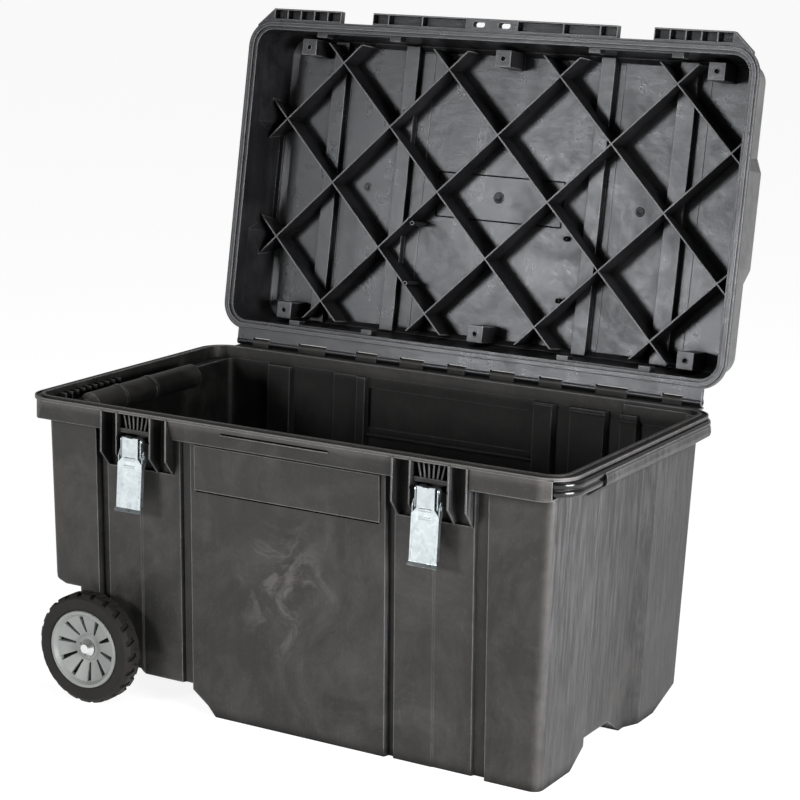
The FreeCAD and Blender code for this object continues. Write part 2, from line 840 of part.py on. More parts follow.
def axle_bosses():
    bosses = []
    for front in (True, False):
        face = face_y(wheel_radius, front)
        outwards = -1 if front else 1
        y0, y1 = sorted((face - outwards * bay_cheek, face + outwards * axle_boss_proud))
        bosses.append(cylinder_y(spacer_radius + axle_boss_wall, y0, y1, wheel_x, wheel_radius))
    return bosses


def make_tub():
    cavity = trimmed_body(wall, floor, True, body_top)
    shell = trimmed_body(0.0, 0.0, False, body_top)
    gap_lining = foot_gap(wall).common(shell)
    pocket_bulge, pocket_hollow = carry_pocket()
    mounts = [latch_mount(-latch_x), latch_mount(latch_x)]
    channels = [leg_channel(-1), leg_channel(1)]
    bands = [blank_band(True), blank_band(False)]
    body = fuse([shell.cut(cavity), gap_lining] + make_collar())
    body = body.cut(body_loft(wall, body_top - wall - 1, body_top + 0.01))
    body = fuse([body, pocket_bulge] + [part[0] for part in mounts + channels + bands])
    body = cut(body, [pocket_hollow] + [part[1] for part in mounts + channels + bands])
    extras = make_gussets() + comb() + axle_bosses()
    for mount in mounts:
        extras += mount[2]
    for x0, x1 in hinge_knuckles(True):
        extras += tub_knuckle(x0, x1)
    # Solid filler above the recessed end panel.
    top_right = body_right + draft_right * end_recess_top
    extras.append(box(top_right - end_recess_depth - 1, top_right, end_recess_front - 0.5,
                      end_recess_back + 0.5, end_recess_top, body_top))
    bores = [
        cylinder_y(axle_radius + axle_clearance / 4, -beyond, beyond, wheel_x, wheel_radius),
        cylinder_x(hinge_rod_radius + hinge_clearance / 4, -beyond, beyond, hinge_y, hinge_z),
    ]
    bores += [mount[3] for mount in mounts]
    return cut(fuse([body] + extras), [axle_bay(), foot_gap(0.0)] + bores)


# ---------------------------------------------------------------- lid
def opened(shape):
    """Swings a shape from the shut lid's place to the open one."""
    turned = shape.copy()
    turned.rotate(Vector(0, hinge_y, hinge_z), X, -lid_open_angle)
    return turned


def lid_half_size(z, distance):
    """Half length and half width of the tapered lid body at a height, moved inwards."""
    share = (z - lid_bottom) / lid_height
    half_x = (flange_x - lid_inset) * (1 - share) + lid_top_half_length * share
    half_y = (flange_y - lid_inset) * (1 - share) + lid_top_half_width * share
    return half_x - distance, half_y - distance


def lid_form(distance):
    """Tapered lid body with its bevelled crown, moved inwards by a distance."""
    low = lid_bottom - distance
    bevel_z = lid_top - lid_edge_bevel
    radius = lid_top_corner - distance
    seam = 0.3
    half_x, half_y = lid_half_size(bevel_z, distance)
    body = frustum(lid_half_size(low, distance), (half_x, half_y), low, bevel_z, radius)
    run = lid_edge_bevel - distance / 2
    crown = Part.makeLoft([
        rounded_rectangle(half_x - seam, half_y - seam, radius + seam, bevel_z - seam),
        rounded_rectangle(half_x - run, half_y - run, radius - run / 2, lid_top - distance),
    ], True, True)
    return fuse([body, crown])


def end_block(distance):
    """Proud block on one end of the lid, sloped at its two sides, moved inwards by a distance."""
    root = flange_x - flange_corner
    low_z = lid_bottom + lid_flange_thickness - 1 + distance
    high_z = lid_top - lid_edge_bevel - distance
    low_reach = flange_x - skirt_thickness / 2 - distance
    high_reach = lid_top_half_length + end_block_proud - distance
    near = end_block_half - distance / 2
    far = near + end_block_run
    rows = []
    for z, reach in ((low_z, low_reach), (high_z, high_reach)):
        shoulder = reach - end_block_proud
        plan = [(root, -far), (shoulder, -far), (reach, -near), (reach, near), (shoulder, far), (root, far)]
        rows.append([Vector(x, y, z) for x, y in plan])
    return tapered(rows[0], rows[1])


def lattice():
    """Diagonal ribs under the lid top; every rib is a thin upright blade."""
    low = lid_top - lid_wall - lattice_height
    reach_y = lid_top_half_width - lattice_gap
    span = int((lid_top_half_length + reach_y) / lattice_pitch)
    half = lattice_thickness / 2
    blades = []
    for index in range(-span, span + 1):
        if index % 2 == 0:
            continue
        for slope in (-45, 45):
            blade = box(-beyond, beyond, -half, half, low, lid_top - 1)
            blade.rotate(ORIGIN, Z, slope)
            blades.append(blade.translated(X * index * lattice_pitch))
    window = box(-beyond, beyond, -reach_y, reach_y, low, lid_top)
    return Part.makeCompound(blades).common(window).Solids


def lid_ridges():
    """Two pairs of ridges across the lid top, and the channels that follow them inside."""
    ridges = []
    channels = []
    end = lid_top_half_width - lid_edge_bevel - ridge_inset
    for centre, width in ((ridge_inner, ridge_width), (ridge_outer, ridge_outer_width)):
        half = width / 2
        foot = half + ridge_slope / 2
        crest = half - ridge_slope / 2
        ridge = front_slab([
            (centre - foot, lid_top - 1),
            (centre + foot, lid_top - 1),
            (centre + crest, lid_top + ridge_height),
            (centre - crest, lid_top + ridge_height),
        ], -end, end)
        channel = front_slab([
            (centre - half, lid_top - lid_wall - 1),
            (centre + half, lid_top - lid_wall - 1),
            (centre + half - ridge_slope, lid_top + ridge_height - lid_wall),
            (centre - half + ridge_slope, lid_top + ridge_height - lid_wall),
        ], -end + lid_wall, end - lid_wall)
        ridges += both_sides(ridge, X)
        channels += both_sides(channel, X)
    return ridges, channels


def lip_block(x0, x1):
    """Plain lip along the lid's front edge."""
    low = lid_bottom + lip_rise
    return box(x0, x1, -flange_y - lip_reach, -flange_y + bead_width, low, low + lip_thickness)


def lip_cell(x0, x1):
    """Hollow in a lip, open at its underside."""
    low = lid_bottom + lip_rise
    return box(x0 + lip_wall / 2, x1 - lip_wall / 2, -flange_y - lip_reach + lip_wall, -flange_y - lip_wall,
               low - 1, low + lip_thickness - lip_wall)


def side_lip():
    """Right-hand lip with its chamfered outer end: solid and cells."""
    outer = flange_x - side_lip_inset
    inner = outer - side_lip_length
    straight_end = outer - 2 * side_lip_chamfer / 3
    tip = straight_end + side_lip_chamfer
    root = -flange_y + bead_width
    corner = plan_slab([
        (straight_end, -flange_y - lip_reach),
        (tip, root + 2 * bead_width),
        (tip, root + lip_reach),
        (straight_end, root),
    ], lid_bottom + lip_rise, lid_bottom + lip_rise + lip_thickness)
    solid = fuse([lip_block(inner, straight_end), corner])
    pitch = (straight_end - inner) / lip_cells
    cells = []
    for index in range(lip_cells):
        left = inner + pitch * index
        cells.append(lip_cell(left, left + pitch))
    return solid, cells


def centre_lip():
    """Long lip with end cells and two padlock eyes: solid, cells and eyes."""
    first, second = centre_lip_cells
    low = lid_bottom + lip_rise
    end = centre_lip_half
    cells = []
    for x0, x1 in ((end - first, end), (end - first - second, end - first), (eye_spacing, end - first - second)):
        cells += both_sides(lip_cell(x0, x1), X)
    half_length_of_eye = eye_length / 2
    half_width_of_eye = eye_width / 2
    middle_y = -flange_y - lip_reach / 2
    eye = plan_slab([
        (eye_spacing / 2 - half_length_of_eye, middle_y - half_width_of_eye),
        (eye_spacing / 2 + half_length_of_eye, middle_y - half_width_of_eye),
        (eye_spacing / 2 + half_length_of_eye, middle_y + half_width_of_eye),
        (eye_spacing / 2 - half_length_of_eye, middle_y + half_width_of_eye),
    ], low - 1, low + lip_thickness + 1, half_width_of_eye - 0.1)
    return lip_block(-end, end), cells + both_sides(eye, X)


def lid_hinge():
    """Strip and knuckles along the lid's back edge, open where the tub's knuckles sit."""
    root = flange_y - bead_width
    low = lid_bottom + lip_rise
    high = lid_bottom + lid_flange_thickness
    strip = side_slab([
        (root, low),
        (hinge_y - knuckle_radius / 2, low),
        (hinge_y, hinge_z + knuckle_radius),
        (hinge_y - knuckle_radius, high),
        (root, high),
    ], -hinge_half, hinge_half)
    barrel = cylinder_x(knuckle_radius, -hinge_half, hinge_half, hinge_y, hinge_z)
    windows = []
    for x0, x1 in hinge_knuckles(False):
        windows.append(box(x0, x1, hinge_y - knuckle_radius - knuckle_gap, beyond, 0, beyond))
    return cut(fuse([strip, barrel]), windows)


def lid_bosses():
    """Square bosses with a screw hole in each: solids and bores."""
    low = lid_top - lid_wall - boss_height
    half = boss_size / 2
    bosses = []
    bores = []
    y = lid_top_half_width - boss_inset_y
    x_outer = lid_top_half_length - boss_inset_x
    for x in (-x_outer, 0.0, x_outer):
        for side in (-1, 1):
            middle = side * y
            bosses.append(box(x - half, x + half, middle - half, middle + half, low, lid_top - 1))
            bores.append(cylinder_z(boss_bore, low - 1, low + boss_bore_depth, x, middle))
    return bosses, bores


def lid_tabs():
    """Pads inside the lid's long walls, each pair joined by a low rail."""
    low = lid_bottom + tab_rise
    half = tab_width / 2
    tabs = []
    for x in (tab_inner, tab_outer):
        pad = box(x - half, x + half, half_width - tab_proud, half_width + 1, low, low + tab_height)
        tabs += both_sides(pad, X)
    rail = box(tab_inner, tab_outer, half_width - tab_rail, half_width + 1, low, low + tab_rail)
    tabs += both_sides(rail, X)
    return tabs + [tab.mirror(ORIGIN, Y) for tab in tabs]


def lid_groove(outer, inner, corner, top):
    """Groove in the lid's rim face between two outlines, each given by its distance from the opening."""
    sizes = [(half_length + reach, half_width + reach, corner + reach) for reach in (outer, inner)]
    ring = rounded_slab(*sizes[0], lid_bottom - 1, top)
    return ring.cut(rounded_slab(*sizes[1], 0, beyond))


def make_lid():
    rim_top = lid_bottom + lid_flange_thickness
    flange = rounded_slab(flange_x, flange_y, flange_corner, lid_bottom, rim_top)
    mouth = rounded_slab(half_length, half_width, inner_corner, 0, beyond)
    ridges, channels = lid_ridges()
    side_solid, side_cells = side_lip()
    centre_solid, centre_cells = centre_lip()
    side_cells = [turned for cell in side_cells for turned in both_sides(cell, X)]
    outer = [flange, lid_form(0.0), centre_solid] + both_sides(end_block(0.0), X) + both_sides(side_solid, X)
    hollow = lid_form(lid_wall).fuse(both_sides(end_block(lid_wall), X))
    tools = [hollow.common(mouth)] + channels + side_cells + centre_cells
    shell = cut(fuse(outer + ridges), tools)
    bosses, bores = lid_bosses()
    within = lid_form(lid_wall / 2)
    inner_parts = [part.common(within) for part in lattice() + bosses]
    whole = fuse([shell] + inner_parts + lid_tabs() + [lid_hinge()])
    tongue_groove = lid_groove(tongue_width + groove_clearance, -0.01, inner_corner,
                               flange_top + tongue_height + groove_clearance)
    bead_groove = lid_groove(flange_width + 1, flange_width - bead_width - groove_clearance, inner_corner,
                             flange_top + bead_height + groove_clearance)
    rod_bore = cylinder_x(hinge_rod_radius + hinge_clearance, -beyond, beyond, hinge_y, hinge_z)
    return opened(cut(whole, [tongue_groove, bead_groove, rod_bore] + bores))


def make_hinge_rod():
    reach = hinge_half - hinge_rod_inset
    return cylinder_x(hinge_rod_radius, -reach, reach, hinge_y, hinge_z)


# ---------------------------------------------------------------- latches
def latch_link(centre):
    """Two side arms joined by a cross web; swings on the tub's pin."""
    arm_inner = lug_outer + link_gap
    arm_outer = arm_inner + plate
    half = link_half_width
    arm = fuse([
        cylinder_x(half, arm_inner, arm_outer, link_pivot_y, link_pivot_z),
        cylinder_x(half, arm_inner, arm_outer, link_pivot_y, rivet_z),
        box(arm_inner, arm_outer, link_pivot_y - half, link_pivot_y + half, rivet_z, link_pivot_z),
    ])
    web = box(-arm_outer, arm_outer, link_pivot_y - plate / 2, link_pivot_y + plate / 2,
              rivet_z + link_length / 4, rivet_z + link_length * 0.6)
    bores = [
        cylinder_x(pin_radius + pin_clearance, -arm_outer, arm_outer, link_pivot_y, link_pivot_z),
        cylinder_x(pin_radius, -arm_outer, arm_outer, link_pivot_y, rivet_z),
    ]
    return cut(fuse(both_sides(arm, X) + [web]), bores).translated(X * centre)


def latch_pin(centre, z, reach, head):
    """Pin with a flat head at each end."""
    shank = cylinder_x(pin_radius, -reach, reach, link_pivot_y, z)
    end = cylinder_x(head, reach, reach + head_height, link_pivot_y, z)
    return fuse([shank] + both_sides(end, X)).translated(X * centre)


def latch_lever(centre):
    """Pressed lever: claw on top, ears round the rivet, ribbed plate and flared lip."""
    foot_z = rivet_z - lever_drop
    claw_z = lid_bottom + lid_flange_thickness + claw_clearance - 2 * link_length
    back = lever_front + plate
    foot = lever_front - lever_kick
    toe = foot - lever_kick
    claw_y = -flange_y + claw_overlap
    side_view = [
        (lever_front, claw_z + plate),
        (lever_front, rivet_z - 6),
        (foot, foot_z + 5),
        (toe, foot_z),
        (toe + plate, foot_z - 1),
        (foot + plate, foot_z + 4),
        (back, rivet_z - 7),
        (back, claw_z),
        (claw_y, claw_z),
        (claw_y, claw_z + plate),
    ]
    sheet = side_slab(side_view, -lip_half, lip_half)
    right_edge = [
        (lip_half, foot_z - 2),
        (lip_half, foot_z + 3),
        (lever_half, foot_z + 6),
        (lever_half, rivet_z - 11),
        (neck_half, rivet_z - 2),
        (neck_half, claw_z + plate + 1),
        (neck_half / 2, claw_z + plate + 1),
        (neck_half / 3, claw_z + plate - 1),
    ]
    left_edge = [(-x, z) for x, z in right_edge[::-1]]
    sheet = sheet.common(front_slab(right_edge + left_edge, -beyond, 0))
    ear = side_slab([
        (back - 0.4, rivet_z - 10),
        (foot + plate - 0.4, foot_z + 9),
        (foot + 8, foot_z + 9),
        (back + 5, rivet_z - 20),
        (link_pivot_y + link_half_width, rivet_z - 9),
        (link_pivot_y + link_half_width, rivet_z + 2),
        (link_pivot_y + 2, rivet_z + 9),
        (link_pivot_y - 2, rivet_z + 9),
        (back - 0.4, rivet_z + 1),
    ], lever_half - plate, lever_half)
    ribs = []
    for top in (rivet_z, rivet_z - 12):
        ribs.append(side_slab([
            (lever_front - 1.3, top - 5.5),
            (lever_front - 1.3, top - 2.5),
            (lever_front + 0.5, top - 0.5),
            (lever_front + 0.5, top - 6.5),
        ], -10, 10))
    bore = cylinder_x(pin_radius + pin_clearance, -lip_half, lip_half, link_pivot_y, rivet_z)
    return fuse([sheet] + both_sides(ear, X) + ribs).cut(bore).translated(X * centre)


# ---------------------------------------------------------------- pull handle
def bar_section(origin, along):
    """Two stacked beads, flattened on both sides, as a closed wire."""
    across = Z.cross(along).normalize()
    half = bar_width / 2
    radius = bar_bead / 2
    rise = math.sqrt(radius * radius - half * half)
    points = []
    for centre in (radius, -radius):
        points.append((half, centre + rise))
        points.append((half, centre - rise))
    left = [(-x, z) for x, z in points[::-1]]
    ring = [origin + across * x + Z * z for x, z in points + left]
    top = origin + Z * bar_bead
    bottom = origin - Z * bar_bead
    edges = [
        Part.Arc(ring[7], top, ring[0]).toShape(),
        Part.makeLine(ring[0], ring[1]),
        Part.makeLine(ring[1], ring[2]),
        Part.makeLine(ring[2], ring[3]),
        Part.Arc(ring[3], bottom, ring[4]).toShape(),
        Part.makeLine(ring[4], ring[5]),
        Part.makeLine(ring[5], ring[6]),
        Part.makeLine(ring[6], ring[7]),
    ]
    return Part.Wire(edges)


def make_pull_handle():
    """Bar bent into a long U: two legs in their channels and one run across the end."""
    front_y = -leg_y
    leg = Part.Face(bar_section(Vector(leg_start, front_y, bar_z), X)).extrude(X * (bend_x - leg_start))
    bend_face = Part.Face(bar_section(Vector(bend_x, front_y, bar_z), X))
    bend = bend_face.revolve(Vector(bend_x, front_y + bar_corner, 0), Z, 90)
    end_face = Part.Face(bar_section(Vector(bar_end_x, front_y + bar_corner, bar_z), Y))
    end_run = end_face.extrude(Y * 2 * (leg_y - bar_corner))
    return fuse(both_sides(leg, Y) + both_sides(bend, Y) + [end_run])


def make_grip(handle):
    """Moulded grip round the middle of the bar's end run."""
    top = flange_bottom - grip_drop
    bottom = top - grip_height
    reach = bar_end_x + grip_proud
    near_wall = body_right + draft_right * top + 2 * grip_clearance
    beside_collar = half_length + wall + grip_clearance
    ledge = body_top - wall
    profile = [
        (near_wall, bottom),
        (reach - grip_round / 2, bottom + grip_height / 2),
        (reach, bottom + grip_height * 0.65),
        (reach - grip_round / 4, top - grip_round),
        (reach - grip_round, top),
        (beside_collar, top),
        (beside_collar, ledge - 2 * grip_round),
        (near_wall, ledge - 3 * grip_round),
    ]
    end = leg_y - bar_corner
    return front_slab(profile, grip_start - end, end).cut(handle)


def make_guide(side):
    """Sleeve insert at the mouth of a leg channel."""
    block = box(guide_start, guide_start + guide_length, channel_wall_y, skirt_y - skirt_thickness,
                channel_floor, flange_bottom)
    clear = guide_clearance
    hole = box(0, beyond, leg_y - bar_width / 2 - clear, leg_y + bar_width / 2 + clear,
               bar_z - bar_bead - clear, bar_z + bar_bead + clear)
    block = block.cut(hole)
    return block if side > 0 else block.mirror(ORIGIN, Y)


def make_keeper(side, handle):
    """Stop block on the inner end of a leg; the guide holds it in."""
    half = leg_wall_depth / 2 - keeper_clearance
    block = box(leg_start, leg_start + keeper_length, leg_y - half, leg_y + half,
                channel_floor + keeper_clearance, flange_bottom - keeper_clearance)
    if side < 0:
        block = block.mirror(ORIGIN, Y)
    return block.cut(handle)


# ---------------------------------------------------------------- wheels
def make_tyre(side):
    """Tyre with two rows of skewed gaps in its tread."""
    inner_face = wheel_face - tyre_width
    tread = wheel_radius - tyre_shoulder
    outer_face = wheel_face - 1
    profile = [
        (hub_radius, -inner_face - 2),
        (tread, -inner_face),
        (wheel_radius, -inner_face - tyre_shoulder),
        (wheel_radius, -outer_face + tyre_shoulder),
        (tread, -outer_face),
        (hub_radius + 3, -outer_face + 0.5),
        (hub_radius, -outer_face + 2),
    ]
    wire = outline([Vector(r, y, 0) for r, y in profile])
    tyre = Part.Face(wire).revolve(ORIGIN, Y, 360)
    middle = -wheel_face + tyre_width / 2
    rows = [
        (-wheel_face - 1, middle + tread_overlap, lug_skew, 0.0),
        (middle - tread_overlap, -inner_face + 1, -lug_skew, 0.5),
    ]
    gaps = []
    for y0, y1, skew, stagger in rows:
        gap = box(wheel_radius - lug_depth, wheel_radius + lug_gap, y0, y1, -lug_gap / 2, lug_gap / 2)
        gap.rotate(Vector(wheel_radius, (y0 + y1) / 2, 0), X, skew)
        for index in range(lug_count):
            turned = gap.copy()
            turned.rotate(ORIGIN, Y, 360.0 / lug_count * (index + stagger))
            gaps.append(turned)
    tyre = cut(tyre, gaps).translated(Vector(wheel_x, 0, wheel_radius))
    return tyre if side < 0 else tyre.mirror(ORIGIN, Y)


def make_hub(side):
    """Dished hub with a ring of tapered slots."""
    inner_face = wheel_face - tyre_width
    dish_y = -wheel_face + hub_dish
    ring = hub_radius - rim_width
    bore = axle_radius + axle_clearance
    profile = [
        (bore, dish_y),
        (nave_radius, dish_y),
        (nave_radius + 5, dish_y + 3),
        (ring, -wheel_face + 6),
        (ring + 4, -wheel_face),
        (hub_radius - 1, -wheel_face),
        (hub_radius, -wheel_face + 3),
        (hub_radius, -inner_face - 2),
        (hub_radius - 4, -inner_face - 2),
        (hub_radius - 4, -wheel_face + 12),
        (nave_radius + 5, dish_y + 9),
        (nave_radius, -inner_face + 1),
        (bore, -inner_face + 1),
    ]
    wire = outline([Vector(r, y, 0) for r, y in profile])
    hub = Part.Face(wire).revolve(ORIGIN, Y, 360)
    (near, near_width), (far, far_width) = slot_inner, slot_outer
    slot = front_slab([
        (near, -near_width / 2),
        (far, -far_width / 2),
        (far, far_width / 2),
        (near, near_width / 2),
    ], -wheel_face - 1, -inner_face)
    slots = []
    for index in range(hub_slots):
        turned = slot.copy()
        turned.rotate(ORIGIN, Y, 360.0 / hub_slots * (index + 0.25))
        slots.append(turned)
    hub = cut(hub, slots).translated(Vector(wheel_x, 0, wheel_radius))
    return hub if side < 0 else hub.mirror(ORIGIN, Y)


def make_axle():
    reach = wheel_face - hub_dish + cap_height / 2
    return cylinder_y(axle_radius, -reach, reach, wheel_x, wheel_radius)


def make_cap(side):
    """Domed push cap on the axle end."""
    start = wheel_face - hub_dish + cap_clearance
    seat = wheel_face - hub_dish + cap_height / 2
    profile = [
        (axle_radius, -start),
        (cap_radius, -start),
        (cap_radius, -start - 2),
        (cap_radius / 2, -start - cap_height),
        (0, -start - cap_height),
        (0, -seat),
        (axle_radius, -seat),
    ]
    wire = outline([Vector(r, y, 0) for r, y in profile])
    cap = Part.Face(wire).revolve(ORIGIN, Y, 360).translated(Vector(wheel_x, 0, wheel_radius))
    return cap if side < 0 else cap.mirror(ORIGIN, Y)


def make_spacer(side):
    """Sleeve between the tub's axle boss and the hub."""
    start = abs(face_y(wheel_radius, side < 0)) + axle_boss_proud
    end = wheel_face - tyre_width - spacer_clearance
    if side < 0:
        start, end = -end, -start
    ring = cylinder_y(spacer_radius, start, end, wheel_x, wheel_radius)
    return ring.cut(cylinder_y(axle_radius, start, end, wheel_x, wheel_radius))


# ---------------------------------------------------------------- build
export(make_tub(), "tub")
export(make_lid(), "lid")
export(make_hinge_rod(), "hinge_rod")
pivot_reach = lug_outer + link_gap + plate + keeper_clearance
rivet_reach = lever_half + guide_clearance
for name, centre in (("left", -latch_x), ("right", latch_x)):
    export(latch_link(centre), name + "_latch_link")
    export(latch_lever(centre), name + "_latch_lever")
    export(latch_pin(centre, link_pivot_z, pivot_reach, pivot_head), name + "_latch_pin")
    export(latch_pin(centre, rivet_z, rivet_reach, rivet_head), name + "_latch_rivet")
handle = make_pull_handle()
export(handle, "pull_handle")
export(make_grip(handle), "handle_grip")
export(make_axle(), "axle")
for name, side in (("front", -1), ("rear", 1)):
    export(make_guide(side), name + "_handle_guide")
    export(make_keeper(side, handle), name + "_handle_keeper")
    export(make_tyre(side), name + "_tyre")
    export(make_hub(side), name + "_hub")
    export(make_cap(side), name + "_axle_cap")
    export(make_spacer(side), name + "_wheel_spacer")
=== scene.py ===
import json
import math

import bmesh
import bpy
from mathutils import Matrix, Vector


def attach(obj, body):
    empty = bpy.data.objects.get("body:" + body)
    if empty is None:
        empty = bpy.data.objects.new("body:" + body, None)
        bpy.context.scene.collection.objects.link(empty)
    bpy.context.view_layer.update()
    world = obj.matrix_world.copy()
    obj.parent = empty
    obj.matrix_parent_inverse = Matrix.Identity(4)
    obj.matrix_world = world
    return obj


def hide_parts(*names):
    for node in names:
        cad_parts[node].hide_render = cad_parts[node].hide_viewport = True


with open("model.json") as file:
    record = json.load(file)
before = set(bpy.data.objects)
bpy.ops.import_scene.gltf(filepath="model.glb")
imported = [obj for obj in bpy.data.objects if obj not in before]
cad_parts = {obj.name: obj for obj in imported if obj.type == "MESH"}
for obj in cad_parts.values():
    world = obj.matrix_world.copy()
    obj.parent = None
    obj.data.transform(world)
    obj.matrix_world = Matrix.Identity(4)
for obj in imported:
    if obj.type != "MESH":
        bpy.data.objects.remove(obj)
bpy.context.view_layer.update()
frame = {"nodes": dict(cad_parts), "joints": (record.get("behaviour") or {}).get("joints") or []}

nodes = frame["nodes"]


# Tub: one structural-foam moulding in charcoal polyolefin, as is the grip of the pull handle.
# The melt leaves faint upright flow streaks and a fine grain, and handling leaves pale smudges on
# the front. The inside is painted darker as shade; the rim band and the front right corner get
# painted highlights, and the right end's light scratches also paint a sheen.
class Reading:
    """A shader value; arithmetic on it adds Math nodes to its graph."""

    def __init__(self, graph, socket):
        self.graph = graph
        self.socket = socket

    def _with(self, operation, first, second):
        return self.graph.node("ShaderNodeMath", {"operation": operation}, {0: first, 1: second})

    def __add__(self, other):
        return self._with("ADD", self, other)

    __radd__ = __add__

    def __mul__(self, other):
        return self._with("MULTIPLY", self, other)

    __rmul__ = __mul__

    def __sub__(self, other):
        return self._with("SUBTRACT", self, other)

    def __rsub__(self, other):
        return self._with("SUBTRACT", other, self)

    def __truediv__(self, other):
        return self._with("DIVIDE", self, other)

    def __rtruediv__(self, other):
        return self._with("DIVIDE", other, self)


class Graph:
    """The shader nodes of a material or of the room."""

    def __init__(self, tree):
        self.tree = tree

    def node(self, kind, settings, values, output=0):
        """Add a node: its settings first, then the values or links of its sockets."""
        made = self.tree.nodes.new(kind)
        for key, value in settings.items():
            if key == "stops":
                self._set_stops(made.color_ramp, value)
            else:
                setattr(made, key, value)
        for key, value in values.items():
            self.feed(made.inputs[key], value)
        return Reading(self, made.outputs[output])

    def _set_stops(self, ramp, stops):
        while len(ramp.elements) < len(stops):
            ramp.elements.new(0.5)
        for element, (position, level) in zip(ramp.elements, stops):
            element.position = position
            element.color = (level, level, level, 1)

    def feed(self, socket, value):
        if isinstance(value, Reading):
            self.tree.links.new(value.socket, socket)
        else:
            socket.default_value = value


class Finish(Graph):
    """One material: a Principled shader and the graph that feeds it."""

    def __init__(self, name, **fixed):
        self.material = bpy.data.materials.new(name)
        self.material.use_nodes = True
        super().__init__(self.material.node_tree)
        self.shader = self.tree.nodes["Principled BSDF"]
        self.set(**fixed)
        self.place = self.node("ShaderNodeTexCoord", {}, {}, "Object")

    def set(self, **inputs):
        for key, value in inputs.items():
            self.feed(self.shader.inputs[key.replace("_", " ")], value)

    def stretched(self, scale):
        """The object's own coordinates, scaled by a separate factor along each axis."""
        return self.node("ShaderNodeMapping", {}, {"Vector": self.place, "Scale": scale})

    def noise(self, scale, detail, roughness, vector=None, distortion=0.0):
        """A cloudy value from 0 to 1; the scale is in lumps to the metre."""
        return self.node("ShaderNodeTexNoise", {}, {
            "Vector": vector or self.place, "Scale": scale, "Detail": detail,
            "Roughness": roughness, "Distortion": distortion}, "Fac")

    def ramp(self, value, *stops):
        """Read a value from 0 to 1 off a line through the stops (value, level)."""
        return self.node("ShaderNodeValToRGB", {"stops": stops}, {"Fac": value})

    def blend(self, amount, first, second):
        mix_inputs = {0: amount, 6: first, 7: second}
        return self.node("ShaderNodeMix", {"data_type": "RGBA"}, mix_inputs, 2)

    def rounded(self, radius):
        return self.node("ShaderNodeBevel", {"samples": 4}, {"Radius": radius}, "Normal")

    def air(self, reach, samples):
        """1 in the open, and less where something stands within the reach."""
        return self.node("ShaderNodeAmbientOcclusion", {"samples": samples}, {"Distance": reach}, "AO")

    def dot(self, first, second):
        return self.node("ShaderNodeVectorMath", {"operation": "DOT_PRODUCT"},
                         {0: first, 1: second}, "Value")

    def split(self, vector):
        """The three parts of a vector, each as a reading."""
        parts = self.node("ShaderNodeSeparateXYZ", {}, {0: vector})
        outputs = parts.socket.node.outputs
        return [Reading(self, outputs[index]) for index in range(3)]

    def outer_edge_mask(self, radius, reach):
        """About 1 on outer edges within the radius, 0 on flats and in corners."""
        flat = self.node("ShaderNodeNewGeometry", {}, {}, "Normal")
        turn = 1 - self.dot(self.rounded(radius), flat)
        in_the_open = self.ramp(self.air(reach, 4), (0.7, 0.0), (0.92, 1.0))
        return self.ramp(turn, (0.01, 0.0), (0.16, 1.0)) * in_the_open

    def shade_corners(self, reach, depth, inside_shade=0):
        """Paint shade: mix a matt black into deep corners, and into the inside shade that is given."""
        shade_black = self.node("ShaderNodeBsdfDiffuse", {}, {"Color": (0.003, 0.003, 0.003, 1)})
        painted_corner_tone = self.ramp(self.air(reach, 6), (0.3, 1.0), (0.93, 0.0)) * depth
        painted_shade = self.node("ShaderNodeMath", {"operation": "MAXIMUM"}, {0: painted_corner_tone, 1: inside_shade})
        glossy = Reading(self, self.shader.outputs[0])
        surface = self.node("ShaderNodeMixShader", {}, {0: painted_shade, 1: glossy, 2: shade_black})
        self.feed(self.tree.nodes["Material Output"].inputs["Surface"], surface)

    def bump(self, height, strength, distance, normal=None):
        values = {"Height": height, "Strength": strength, "Distance": distance}
        if normal is not None:
            values["Normal"] = normal
        return self.node("ShaderNodeBump", {}, values, "Normal")

    def paint(self, *names):
        for name in names:
            for slot in nodes[name].material_slots:
                slot.material = self.material


edge_wear_and_highlight_grey = (0.28, 0.28, 0.285, 1)
edge_radius, edge_reach = 0.003, 0.02
corner_shade_reach, corner_shade_depth = 0.018, 0.85
skin_rounding, grain_height = 0.0018, 0.0012


